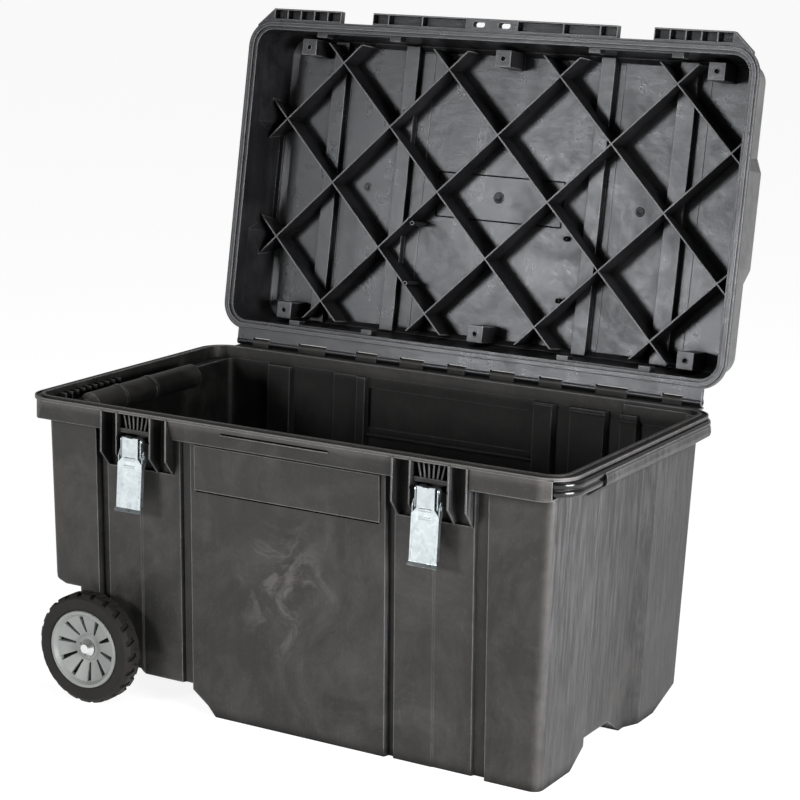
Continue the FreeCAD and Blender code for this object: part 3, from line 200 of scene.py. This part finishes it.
def moulded(name, light_tint, dark, pale, dust, dustiness, gloss, run, ripple, relief, wear=None):
    """Charcoal moulding: grain, flow streaks, handling marks, edges lightened by wear and painted
    highlight, and painted shade in deep corners.
    """
    finish = Finish(name, Specular_IOR_Level=0.45, Specular_Tint=light_tint)

    streaks = finish.noise(9, 6, 0.65, finish.stretched((3.2, 3.2, 0.45)), distortion=0.6)
    cloud = finish.noise(5.5, 6, 0.65, distortion=1.6)
    smear = finish.noise(26, 5, 0.7, distortion=0.8)
    scrape = finish.noise(60, 5, 0.7, finish.stretched((6, 6, 0.35)))

    marks = finish.ramp(cloud * 0.7 + smear * 0.3, (0.46, 0.0), (0.7, 1.0))
    speck = finish.ramp(finish.noise(230, 3, 0.6), (0.58, 0.0), (0.76, 1.0))
    scraped_zone = finish.ramp(cloud, (0.35, 0.2), (0.6, 1.0))
    scrapes = finish.ramp(scrape, (0.57, 0.0), (0.75, 1.0)) * scraped_zone

    base = finish.blend(finish.ramp(streaks, (0.3, 0.0), (0.7, 1.0)), dark, pale)
    dusted = marks * dustiness + speck * (dustiness * 0.5) + scrapes * (dustiness * 0.6)
    colour = finish.blend(dusted, base, dust)
    inside_shade = 0
    if wear:
        colour, inside_shade = wear(finish, colour, dust, streaks, smear)
    # Outer edges are lightened to a pale grey: partly wear, partly a painted highlight along the rounded
    # edges.
    rubbed_and_highlit = finish.outer_edge_mask(edge_radius, edge_reach) * (smear * 0.7 + 0.35)
    finish.set(Base_Color=finish.blend(rubbed_and_highlit, colour, edge_wear_and_highlight_grey))
    finish.set(Roughness=streaks * 0.14 + marks * 0.14 + smear * 0.1 + gloss)

    waves = finish.noise(110, 2, 0.5, finish.stretched(run))
    grain = finish.noise(1300, 2, 0.6) * 0.5 + waves * ripple + finish.noise(300, 3, 0.6) * 0.5
    finish.set(Normal=finish.bump(grain, relief, grain_height, finish.rounded(skin_rounding)))
    # Painted shade: deep corners, and any inside shade from the wear, are mixed with matt black.
    finish.shade_corners(corner_shade_reach, corner_shade_depth, inside_shade)
    return finish


inside_shade_depth, wall_top, rim_inside = 0.62, 0.440, 0.458
rim_highlight_level, flange_foot, flange_face = 0.55, 0.452, 0.456
hand_dust, hand_x, hand_z, hand_width, hand_height = 0.6, 0.010, 0.220, 0.100, 0.130
corner_highlight_level, wall_draft, near_corner, corner_edge = 0.75, 0.069, 0.6585, 0.6670
scuff_and_sheen_grey = (0.105, 0.105, 0.114, 1)
ramp_middle = 0.5


def tub_wear(finish, colour, dust, streaks, smear):
    """Rub the tub's outside, paint highlights and a sheen on it, and say how much painted shade falls on
    each place inside.

    A ramp reads values from 0 to 1, so one that may be negative is raised by its middle.
    """
    x, y, z = finish.split(finish.place)
    facing = finish.node("ShaderNodeTexCoord", {}, {}, "Normal")
    from_middle = finish.node("ShaderNodeVectorMath", {"operation": "MULTIPLY"},
                              {0: finish.place, 1: (1, 1, 0)}, "Vector")
    outwards = finish.dot(facing, from_middle)
    outside = finish.ramp(outwards + ramp_middle, (0.48, 0.0), (0.495, 1.0))
    # Painted shade: the tub's inside faces below the rim are marked for a matt black mix.
    inside_shade = (1 - outside) * finish.ramp(z, (wall_top, inside_shade_depth), (rim_inside, 0.0))

    # Painted highlight: the rim band is lightened in the dust colour.
    rim_highlight = finish.ramp(z, (flange_foot, 0.0), (flange_face, rim_highlight_level)) * (streaks * 0.8 + 0.2)

    off_x, off_z = (x - hand_x) / hand_width, (z - hand_z) / hand_height
    hand_patch = finish.ramp(off_x * off_x + off_z * off_z, (0.0, 1.0), (0.95, 0.0))
    wiped = finish.ramp(finish.noise(13, 6, 0.7, distortion=1.4), (0.5, 0.0), (0.62, 1.0))
    hand_mark = hand_patch * wiped * hand_dust

    # Painted highlight: a pale line down the middle of the rounded front right corner, in the dust colour.
    towards_corner = x - y - z * wall_draft
    painted_corner_tone = finish.ramp(towards_corner, (near_corner, 0.0), (corner_edge, corner_highlight_level))
    painted_corner_tone = painted_corner_tone * (smear * 0.8 + 0.3)
    colour = finish.blend((rim_highlight + hand_mark + painted_corner_tone) * outside, colour, dust)

    # Light vertical scratches on the right end, laid stronger towards the top and the front, where they
    # also paint a sheen.
    end_face = finish.ramp(finish.split(facing)[0], (0.6, 0.0), (0.95, 1.0))
    scratches = finish.noise(170, 5, 0.7, finish.stretched((1.0, 1.0, 0.06)))
    scuffs_and_sheen = finish.ramp(scratches, (0.42, 0.0), (0.68, 1.0)) * (z + 0.3) + 0.05
    sheen_falloff = finish.ramp(y + ramp_middle, (0.25, 1.0), (0.75, 0.35))
    colour = finish.blend(end_face * scuffs_and_sheen * sheen_falloff * outside, colour, scuff_and_sheen_grey)
    return colour, inside_shade


# The warm specular tint paints the warm light that the tub reflects.
tub_finish = moulded(
    "tub_moulding", light_tint=(1.0, 0.98, 0.965, 1), dark=(0.0045, 0.0043, 0.0041, 1),
    pale=(0.011, 0.0104, 0.0099, 1), dust=(0.1, 0.094, 0.089, 1), dustiness=0.32, gloss=0.34,
    run=(1.0, 1.0, 0.3), ripple=0.6, relief=0.35, wear=tub_wear)
tub_finish.paint("tub", "handle_grip")


# Hinge ledge: a thin shelf moulded behind the tub's rim. It ties the hinge knuckles together
# at their feet, along the whole back.
def ring_faces(bm, rings, closed=False):
    """Skin a row of point rings; the end rings are capped unless the row is closed."""
    made = [[bm.verts.new(point) for point in ring] for ring in rings]
    count = len(made[0])
    pairs = list(zip(made, made[1:]))
    if closed:
        pairs.append((made[-1], made[0]))
    for lower, upper in pairs:
        for index in range(count):
            after = (index + 1) % count
            bm.faces.new((lower[index], lower[after], upper[after], upper[index]))
    if not closed:
        bm.faces.new(made[0][::-1])
        bm.faces.new(made[-1])


def block(bm, low, high):
    """Add a box between two opposite corners; its edges are softened by finished()."""
    corners = [(low[0], low[1]), (high[0], low[1]), (high[0], high[1]), (low[0], high[1])]
    ring_faces(bm, [[Vector((x, y, z)) for x, y in corners] for z in (low[2], high[2])])


smooth_below = math.radians(40)


def finished(name, bm, body, finish, rounding=0.0, turn=None):
    """Make a mesh into a piece: rounded edges, smooth faces, a finish and a body to ride on."""
    bmesh.ops.recalc_face_normals(bm, faces=bm.faces)
    if rounding:
        bmesh.ops.bevel(bm, geom=list(bm.edges), offset=rounding, segments=3, profile=0.5,
                        affect="EDGES", clamp_overlap=True)
    if turn is not None:
        bm.transform(turn)
    mesh = bpy.data.meshes.new(name)
    bm.to_mesh(mesh)
    bm.free()
    for polygon in mesh.polygons:
        polygon.use_smooth = True
    mesh.set_sharp_from_angle(angle=smooth_below)
    piece = bpy.data.objects.new(name, mesh)
    bpy.context.scene.collection.objects.link(piece)
    mesh.materials.append(finish.material)
    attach(piece, body)
    return piece


shelf_half, shelf_front, shelf_back = 0.4345, 0.2665, 0.2958
shelf_low, shelf_high, shelf_rounding = 0.4608, 0.4643, 0.0008
shelf = bmesh.new()
block(shelf, (-shelf_half, shelf_front, shelf_low), (shelf_half, shelf_back, shelf_high))
finished("hinge_ledge", shelf, "tub", tub_finish, shelf_rounding)

# Tray rail: a round-edged ledge moulded on the inside of the back wall. A loose tray's edge
# rests on it.
rail_left, rail_right, rail_front, rail_back = -0.1505, 0.1655, 0.2445, 0.2530
rail_low, rail_high, rail_rounding = 0.3455, 0.3530, 0.0022
rail = bmesh.new()
block(rail, (rail_left, rail_front, rail_low), (rail_right, rail_back, rail_high))
finished("tray_rail", rail, "tub", tub_finish, rail_rounding)

# Wall caps: the rounded tops of three upright pads inside the back wall, right of the rail.
# They are moulded with the wall, and each pad ends at its own height.
wall_cap_front, wall_cap_back = 0.2392, 0.2440
wall_cap_height, wall_cap_rounding = 0.0045, 0.0018
wall_pads = ((0.163, 0.199, 0.4455), (0.228, 0.291, 0.4435), (0.315, 0.346, 0.4385))
for number, (left, right, top) in enumerate(wall_pads, 1):
    wall_cap = bmesh.new()
    block(wall_cap, (left, wall_cap_front, top - wall_cap_height), (right, wall_cap_back, top))
    finished(f"wall_cap_{number}", wall_cap, "tub", tub_finish, wall_cap_rounding)

# Finger ledge: a thin lip moulded under the front flange, where a finger lifts the lid. The
# slot above it is too narrow to let light in, so it shows as a matt black line.
groove_finish = Finish("groove_shade", Specular_IOR_Level=0.0)
groove_finish.set(Base_Color=(0.001, 0.001, 0.001, 1), Roughness=0.95)

lip_left, lip_right, lip_front, skirt_face = -0.100, 0.088, -0.2682, -0.2640
lip_low, lip_high, lip_rounding = 0.4508, 0.4528, 0.0007
lip = bmesh.new()
block(lip, (lip_left, lip_front, lip_low), (lip_right, skirt_face, lip_high))
finished("finger_ledge", lip, "tub", tub_finish, lip_rounding)

slot_inset, slot_front, slot_low, slot_high, slot_rounding = 0.002, -0.2667, 0.4532, 0.4550, 0.0004
finger_gap = bmesh.new()
block(finger_gap, (lip_left + slot_inset, slot_front, slot_low),
      (lip_right - slot_inset, skirt_face, slot_high))
finished("finger_slot", finger_gap, "tub", groove_finish, slot_rounding)

# Band groove: a fine undercut moulded below the blank band on the front panel. It lies in
# shade over its whole length.
undercut_left, undercut_right = -0.151, 0.167
undercut_front, undercut_back = -0.2528, -0.2490
undercut_low, undercut_high = 0.3553, 0.3579
undercut = bmesh.new()
block(undercut, (undercut_left, undercut_front, undercut_low),
      (undercut_right, undercut_back, undercut_high))
finished("band_undercut", undercut, "tub", groove_finish)

# Hinge rod and axle: plain lengths of drawn steel rod, with fine lines along the draw. One is
# pushed through the hinge knuckles, the other lies across the wheel bay.
rod_dark, rod_pale = (0.42, 0.42, 0.42, 1), (0.62, 0.62, 0.61, 1)
rod_finish = Finish("drawn_rod", Metallic=1.0)
rod_lines = rod_finish.noise(40, 3, 0.6, rod_finish.stretched((0.4, 6, 6)))
rod_finish.set(Base_Color=rod_finish.blend(rod_lines, rod_dark, rod_pale))
rod_finish.set(Roughness=rod_lines * 0.2 + 0.22)
rod_finish.paint("hinge_rod", "axle")

# Handle guides and keepers, and the spacers behind the wheels: small mouldings in plain black
# plastic, pushed on or into place, with a fine even grain.
plain_dark, plain_pale = (0.004, 0.004, 0.004, 1), (0.012, 0.012, 0.012, 1)
plain_finish = Finish("plain_black")
plain_grain = plain_finish.noise(900, 2, 0.6)
plain_finish.set(Base_Color=plain_finish.blend(plain_grain, plain_dark, plain_pale))
plain_finish.set(Roughness=plain_grain * 0.2 + 0.42)
plain_finish.set(Normal=plain_finish.bump(plain_grain, strength=0.1, distance=0.0006))
# Painted shade: deep corners are mixed with matt black.
plain_finish.shade_corners(reach=0.01, depth=0.6)
for end in ("front", "rear"):
    plain_finish.paint(end + "_handle_guide", end + "_handle_keeper", end + "_wheel_spacer")

# Pull handle: a steel bar with two round beads, one above the other, bent into a long U and
# coated in gloss black. Its legs slide in the guides.
enamel_deep, enamel_worn = (0.002, 0.002, 0.002, 1), (0.008, 0.008, 0.008, 1)
bar_finish = Finish("gloss_black", Specular_IOR_Level=0.35, Coat_Weight=0.35, Coat_Roughness=0.06)
bar_wear = bar_finish.noise(120, 4, 0.6)
bar_finish.set(Base_Color=bar_finish.blend(bar_wear, enamel_deep, enamel_worn))
bar_finish.set(Roughness=bar_wear * 0.12 + 0.12)
bar_finish.set(Normal=bar_finish.bump(bar_wear, 0.04, 0.0006, bar_finish.rounded(0.0008)))
bar_finish.paint("pull_handle")

bar_height, leg_side, leg_end = 0.4492, 0.2595, 0.324
bend_start, bend, bend_steps = 0.4305, 0.040, 12
bead_half_width, bead_half_height = 0.00425, 0.00565
waist, bead_step = 66, 24

upper_bead = []
for degrees in range(-waist, 180 + waist + 1, bead_step):
    angle = math.radians(degrees)
    upper_bead.append((bead_half_width * math.cos(angle),
                       bead_half_height + bead_half_height * math.sin(angle)))
bar_section = upper_bead + [(-off, -rise) for off, rise in upper_bead]

route = [(Vector((leg_end, -leg_side, bar_height)), 0.0)]
bend_centre = Vector((bend_start, -leg_side + bend, bar_height))
for step in range(bend_steps + 1):
    angle = math.radians(90 * step / bend_steps)
    route.append((bend_centre + Vector((math.sin(angle), -math.cos(angle), 0)) * bend, angle))
route += [(Vector((place.x, -place.y, place.z)), math.pi - angle) for place, angle in route[::-1]]

bar_rings = []
for place, angle in route:
    outwards = Vector((math.sin(angle), -math.cos(angle), 0))
    bar_rings.append([place + outwards * off + Vector((0, 0, rise)) for off, rise in bar_section])
bar = bmesh.new()
ring_faces(bar, bar_rings)
pull_bar = finished("pull_bar", bar, "pull_handle", bar_finish)
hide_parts("pull_handle")

# Tyres: moulded black rubber with diagonal lugs, pressed over the hubs. The rubber is matt,
# a little dusty and uneven in tone.
rubber_dark, rubber_dusty = (0.005, 0.0048, 0.0045, 1), (0.018, 0.0166, 0.0152, 1)
rubber_finish = Finish("tyre_rubber", Specular_IOR_Level=0.2)
rubber_cloud = rubber_finish.noise(22, 5, 0.6, distortion=0.8)
rubber_grain = rubber_finish.noise(700, 2, 0.6)
rubber_finish.set(Base_Color=rubber_finish.blend(rubber_cloud, rubber_dark, rubber_dusty))
rubber_finish.set(Roughness=rubber_grain * 0.2 + 0.55)
rubber_finish.set(Normal=rubber_finish.bump(rubber_grain, 0.2, 0.0006, rubber_finish.rounded(0.001)))
rubber_finish.paint("front_tyre", "rear_tyre")

# Hubs: grey moulded discs with tapered slots. A dull web is moulded across the back of each one,
# so the slots are closed behind; it is painted near black as the shade inside the slots.
hub_dark, hub_pale = (0.17, 0.178, 0.172, 1), (0.25, 0.26, 0.252, 1)
hub_finish = Finish("hub_grey")
hub_cloud = hub_finish.noise(30, 4, 0.6, distortion=0.8)
hub_grain = hub_finish.noise(900, 2, 0.6)
hub_finish.set(Base_Color=hub_finish.blend(hub_cloud, hub_dark, hub_pale))
hub_finish.set(Roughness=hub_grain * 0.15 + 0.38)
hub_finish.set(Normal=hub_finish.bump(hub_grain, 0.08, 0.0006, hub_finish.rounded(0.0012)))
hub_finish.paint("front_hub", "rear_hub")

# Painted shade: the web is near black.
web_shade_finish = Finish("hub_shade", Specular_IOR_Level=0.1)
web_shade_finish.set(Base_Color=(0.02, 0.021, 0.02, 1), Roughness=0.8)


def turned(bm, profile, centre, axis, steps=24):
    """Turn a closed profile of (radius, height) round an axis through the centre."""
    along = Vector(axis).normalized()
    side = along.orthogonal().normalized()
    across = along.cross(side)
    rings = []
    for index in range(steps):
        angle = 2 * math.pi * index / steps
        out = side * math.cos(angle) + across * math.sin(angle)
        rings.append([Vector(centre) + out * radius + along * height for radius, height in profile])
    ring_faces(bm, rings, closed=True)


joints = {joint["name"]: joint for joint in frame["joints"]}
web_bore, web_radius, web_wall = 0.0195, 0.0570, 0.0010
web_at_bore, web_at_rim, web_steps = 0.2802, 0.2902, 48
web_section = [(web_bore, web_at_bore + web_wall), (web_bore, web_at_bore),
               (web_radius, web_at_rim), (web_radius, web_at_rim + web_wall)]
for end, outwards in (("front", -1), ("rear", 1)):
    axle_x, _, axle_z = joints[end + "_wheel_spin"]["pos_m"]
    web = bmesh.new()
    turned(web, web_section, (axle_x, 0, axle_z), (0, outwards, 0), web_steps)
    finished(end + "_wheel_web", web, end + "_wheel", web_shade_finish)

# Axle caps: small domed caps of pressed bright steel, pushed on to the ends of the axle. They
# keep the wheels on.
cap_dark, cap_bright = (0.62, 0.63, 0.63, 1), (0.8, 0.8, 0.79, 1)
cap_finish = Finish("pressed_cap", Metallic=1.0)
cap_cloud = cap_finish.noise(160, 3, 0.6)
cap_finish.set(Base_Color=cap_finish.blend(cap_cloud, cap_dark, cap_bright))
cap_finish.set(Roughness=cap_cloud * 0.2 + 0.18)
cap_finish.paint("front_axle_cap", "rear_axle_cap")

# Latches: links, levers, pins and rivets of pressed steel with a bright zinc plate, streaked
# along the pressing. Their outer edges are darkened as painted shade along the outlines.
zinc_dark, zinc_bright, zinc_edge_dark = (0.34, 0.39, 0.41, 1), (0.64, 0.68, 0.69, 1), (0.16, 0.21, 0.24, 1)
zinc_finish = Finish("zinc_plate", Metallic=1.0)
zinc_streak = zinc_finish.noise(60, 5, 0.6, zinc_finish.stretched((5, 1, 0.8)))
zinc_cloud = zinc_finish.noise(90, 4, 0.6, distortion=1.0)
# Painted shade: the outer edges are darkened.
zinc_edge_shade = zinc_finish.outer_edge_mask(radius=0.0013, reach=0.004) * 0.75
zinc_base = zinc_finish.blend(zinc_cloud, zinc_dark, zinc_bright)
zinc_finish.set(Base_Color=zinc_finish.blend(zinc_edge_shade, zinc_base, zinc_edge_dark))
zinc_finish.set(Roughness=zinc_streak * 0.25 + zinc_cloud * 0.2 + 0.1)
zinc_relief = zinc_streak * 0.6 + zinc_cloud
zinc_finish.set(Normal=zinc_finish.bump(zinc_relief, 0.3, 0.0008, zinc_finish.rounded(0.0006)))
zinc_finish.paint(*[name for name in nodes if "_latch_" in name])

# Latch beads: two long stiffening beads pressed along each lever's plate, near its edges. They
# run down the plate's slope, from below the rivet to near the lip.
bead_off, bead_radius, bead_rise, bead_sunk = 0.0188, 0.0008, 0.0006, 0.0004
top_out, top_drop, foot_out, foot_drop = 0.0072, 0.019, 0.0107, 0.074
bead_steps = 6
bead_angles = [math.pi * step / bead_steps for step in range(bead_steps + 1)]
for side in ("left", "right"):
    rivet_x, rivet_y, rivet_z = joints[side + "_lever_turn"]["pos_m"]
    lever = side + "_latch_lever"
    beads = bmesh.new()
    for middle in (rivet_x - bead_off, rivet_x + bead_off):
        bead_rings = []
        for out, drop in ((foot_out, foot_drop), (top_out, top_drop)):
            y, z = rivet_y - out, rivet_z - drop
            ring = [Vector((middle + bead_radius * math.cos(angle), y - bead_rise * math.sin(angle), z))
                    for angle in bead_angles]
            ring += [Vector((middle + across, y + bead_sunk, z)) for across in (-bead_radius, bead_radius)]
            bead_rings.append(ring)
        ring_faces(beads, bead_rings)
    finished(lever + "_beads", beads, lever, zinc_finish)

# Lid: a moulding in the same material as the tub, with tapered sides and diagonal ribs. Its
# inner face is cleaner than the tub, and its flow marks show in a soft sheen.
# The bluish specular tint and the faint blue in the base colours paint the bluish light that the lid
# reflects.
lid_finish = moulded(
    "lid_moulding", light_tint=(0.94, 0.96, 1.0, 1), dark=(0.005, 0.005, 0.0057, 1),
    pale=(0.012, 0.012, 0.0132, 1), dust=(0.07, 0.07, 0.073, 1), dustiness=0.15, gloss=0.17,
    run=(0.3, 0.6, 1.0), ripple=1.0, relief=0.2)
lid_finish.paint("lid")

# Lid pads: four long pads moulded from front to back inside the lid top, each on a thin foot.
# All the lid's small pieces are made with the lid shut, and then swung open with it.
lid_hinge = joints["lid_hinge"]
hinge_line = Matrix.Translation(lid_hinge["pos_m"])
swing = Matrix.Rotation(math.radians(-lid_hinge["range_deg"][1]), 4, "X")
open_lid = hinge_line @ swing @ hinge_line.inverted()
lid_face, under_face = 0.5763, 0.0010

pad_foot, pad_drop, pad_draft = 0.0006, 0.0130, 0.0010
pad_half_length, end_slope = 0.2355, 0.75
pad_rows = (
    (-0.3495, -0.3235, -0.3515, -0.3175),
    (-0.2080, -0.1825, -0.2100, -0.1555),
    (0.1588, 0.1838, 0.1552, 0.1988),
    (0.2990, 0.3300, 0.2970, 0.3508),
)
for number, (left, right, foot_left, foot_right) in enumerate(pad_rows, 1):
    pad_section = [
        (foot_left, under_face), (foot_left, -pad_foot), (left, -pad_foot), (left, -pad_drop),
        (right, -pad_drop), (right + pad_draft, -pad_foot), (foot_right, -pad_foot),
        (foot_right, under_face),
    ]
    pad_rings = [[Vector((x, end * (pad_half_length - rise * end_slope), lid_face + rise))
                  for x, rise in pad_section] for end in (-1, 1)]
    pad = bmesh.new()
    ring_faces(pad, pad_rings)
    finished(f"lid_pad_{number}", pad, "lid", lid_finish, turn=open_lid)

# Blank plate: a bare panel in the middle of the lid, framed by a fine groove that an insert in
# the mould leaves. The groove is a thin strip in painted shade, which shows as a dark line.
plate_left, plate_right, plate_low, plate_high = -0.1262, 0.1105, -0.0360, 0.0400
line, line_drop = 0.0011, 0.0005
groove_shade_line = bmesh.new()
for low_x, low_y, high_x, high_y in (
    (plate_left, plate_low - line, plate_right, plate_low + line),
    (plate_left, plate_high - line, plate_right, plate_high + line),
    (plate_left - line, plate_low, plate_left + line, plate_high),
    (plate_right - line, plate_low, plate_right + line, plate_high),
):
    block(groove_shade_line, (low_x, low_y, lid_face - line_drop), (high_x, high_y, lid_face + under_face))
finished("plate_groove", groove_shade_line, "lid", groove_finish, turn=open_lid)

# Ejector marks: shallow round dishes that the mould's pins leave in the lid's inner face, one
# in the middle of the plate and one to each side. Each has a raised ring round it.
facing_down = (0, 0, -1)
dish_hole, dish_middle, dish_side = 0.0004, 0.0003, 0.0007
mark_ring, mark_skirt, mark_sunk = 0.0016, 0.0004, 0.0004
mark_places = ((-0.0091, -0.0003, 0.0075), (-0.2655, 0.0019, 0.0055), (0.2496, 0.0011, 0.0060))
for number, (x, y, radius) in enumerate(mark_places, 1):
    dish_section = [
        (dish_hole, dish_middle), (radius * 0.55, dish_side), (radius, mark_ring),
        (radius * 1.3, mark_skirt), (radius * 1.4, -mark_sunk), (dish_hole, -mark_sunk),
    ]
    mark = bmesh.new()
    turned(mark, dish_section, (x, y, lid_face), facing_down)
    finished(f"ejector_mark_{number}", mark, "lid", lid_finish, turn=open_lid)


# Tube posts: two hollow posts moulded where lattice ribs pass, as tall as the ribs, with a
# softened mouth and a wider foot.
def tube_section(bore, outer, foot, low, high, drop, soft=0.0005):
    """A tube's wall as (radius, height) points, softened round its mouth."""
    return [(bore, low), (bore, high - drop), (bore + soft, high), (outer - soft, high),
            (outer, high - drop), (foot, low)]


post_section = tube_section(bore=0.0021, outer=0.0039, foot=0.0042, low=0.0, high=0.0489, drop=0.0005)
post_places = ((-0.1447, 0.0563), (-0.1465, 0.1591))
for number, (x, y) in enumerate(post_places, 1):
    post = bmesh.new()
    turned(post, post_section, (x, y, lid_face), facing_down)
    finished(f"tube_post_{number}", post, "lid", lid_finish, turn=open_lid)

# Stubs: three short plugs of black plastic, pressed into the lid's inner face to the right of
# the plate. Each has a dip in its top.
stub_height, stub_edge, stub_dip, stub_sunk, dip_hole = 0.0090, 0.0085, 0.0040, 0.0005, 0.0002
stub_places = ((0.1253, 0.0568, 0.0034), (0.1226, 0.1607, 0.0034), (0.1344, 0.1578, 0.0026))
for number, (x, y, radius) in enumerate(stub_places, 1):
    stub_section = [
        (dip_hole, stub_dip), (radius * 0.5, stub_dip), (radius, stub_height),
        (radius * 1.2, stub_edge), (radius * 1.35, -stub_sunk), (dip_hole, -stub_sunk),
    ]
    stub = bmesh.new()
    turned(stub, stub_section, (x, y, lid_face), facing_down)
    finished(f"stub_{number}", stub, "lid", plain_finish, turn=open_lid)

# Screw pins and rings: a round-headed pin stands in the hole of each of the six square bosses,
# and a low ring is moulded round the hole.
boss_face, boss_x, boss_y = 0.5203, 0.378, 0.230
pin_radius, pin_hole, pin_steps = 0.0018, 0.0002, 16
pin_top, pin_shoulder, pin_foot = -0.0012, -0.0040, -0.0095
pin_section = [(pin_hole, pin_top), (0.0010, -0.0014), (0.0016, -0.0022),
               (pin_radius, pin_shoulder), (pin_radius, pin_foot), (pin_hole, pin_foot)]
ring_section = tube_section(bore=0.0037, outer=0.0053, foot=0.0053, low=-0.001, high=0.0008, drop=0.0004)
boss_places = [(x, y, boss_face) for x in (-boss_x, 0.0, boss_x) for y in (-boss_y, boss_y)]
for number, boss in enumerate(boss_places, 1):
    pin = bmesh.new()
    turned(pin, pin_section, boss, facing_down, pin_steps)
    finished(f"screw_pin_{number}", pin, "lid", lid_finish, turn=open_lid)
    screw_ring = bmesh.new()
    turned(screw_ring, ring_section, boss, facing_down)
    finished(f"screw_ring_{number}", screw_ring, "lid", lid_finish, turn=open_lid)

# Floor: a plain pale sheet, lit from below like a light table. It runs far past the box on
# all sides, so that its edge never shows.
floor_half, floor_glow = 60, 0.88
floor_mesh = bpy.data.meshes.new("floor")
floor_corners = [(x * floor_half, y * floor_half, 0) for x, y in ((-1, -1), (1, -1), (1, 1), (-1, 1))]
floor_mesh.from_pydata(floor_corners, [], [(0, 1, 2, 3)])
floor = bpy.data.objects.new("floor", floor_mesh)
bpy.context.scene.collection.objects.link(floor)
floor_finish = Finish("pale_floor", Specular_IOR_Level=0.0)
floor_finish.set(Emission_Color=(1, 1, 1, 1), Emission_Strength=floor_glow)
floor_finish.set(Base_Color=(0.3, 0.3, 0.3, 1), Roughness=0.9)
floor_mesh.materials.append(floor_finish.material)

# Light: a studio room with a bright wall behind the box and a dim side in front, which the
# camera sees as plain white. Three soft panels stand to the right, low at the front left, and
# overhead.
dim_side, bright_side, white = 0.03, 0.42, 1.0
world = bpy.data.worlds.new("room")
world.use_nodes = True
bpy.context.scene.world = world
bpy.context.scene.view_settings.view_transform = "Standard"
room = Graph(world.node_tree)
direction = room.node("ShaderNodeTexCoord", {}, {}, "Generated")
backwards = room.node("ShaderNodeSeparateXYZ", {}, {0: direction}, "Y")
walls = room.node("ShaderNodeMapRange", {}, {
    "Value": backwards, "From Min": -1.0, "From Max": 1.0, "To Min": dim_side, "To Max": bright_side})
seen = room.node("ShaderNodeLightPath", {}, {}, "Is Camera Ray")
brightness = room.node("ShaderNodeMix", {}, {"Factor": seen, "A": walls, "B": white})
backdrop = room.tree.nodes["Background"]
room.feed(backdrop.inputs["Color"], (1, 1, 1, 1))
room.feed(backdrop.inputs["Strength"], brightness)


def soft_panel(name, place, target, width, height, power):
    """Hang a rectangular lamp at a place, turned towards its target."""
    lamp = bpy.data.lights.new(name, "AREA")
    lamp.shape = "RECTANGLE"
    lamp.size = width
    lamp.size_y = height
    lamp.energy = power
    holder = bpy.data.objects.new(name, lamp)
    holder.location = place
    aim = Vector(target) - Vector(place)
    holder.rotation_euler = aim.to_track_quat("-Z", "Y").to_euler()
    bpy.context.scene.collection.objects.link(holder)


soft_panel("right_panel", place=(2.6, -0.9, 0.6), target=(0.45, 0, 0.25),
           width=1.2, height=1.0, power=110)
soft_panel("front_panel", place=(-1.6, -3.7, 1.28), target=(0.2, 0.42, 0.8),
           width=0.85, height=0.75, power=95)
soft_panel("top_panel", place=(1.2, -0.6, 4.0), target=(0, 0, 0.3),
           width=2.4, height=2.4, power=40)

# Camera: a long lens at chest height, in front of the right-hand corner and turned down a
# little. The shift centres the box in a square frame.
camera_place = (1.7765, -3.0667, 1.2443)
yaw, pitch, roll = math.radians(31.08), math.radians(11.63), math.radians(1.13)
ahead = Vector((-math.sin(yaw) * math.cos(pitch), math.cos(yaw) * math.cos(pitch), -math.sin(pitch)))
level = ahead.cross(Vector((0, 0, 1))).normalized()
upright = level.cross(ahead)
right = level * math.cos(roll) + upright * math.sin(roll)
above = upright * math.cos(roll) - level * math.sin(roll)
lens = bpy.data.cameras.new("camera")
lens.sensor_width = 36
lens.lens = 105.03
lens.shift_x = 0.0873
lens.shift_y = -0.0353
lens.clip_end = 100
camera = bpy.data.objects.new("camera", lens)
camera_turn = Matrix((right, above, -ahead)).transposed().to_4x4()
camera.matrix_world = Matrix.Translation(camera_place) @ camera_turn
bpy.context.scene.collection.objects.link(camera)
bpy.context.scene.camera = camera

bpy.context.view_layer.update()
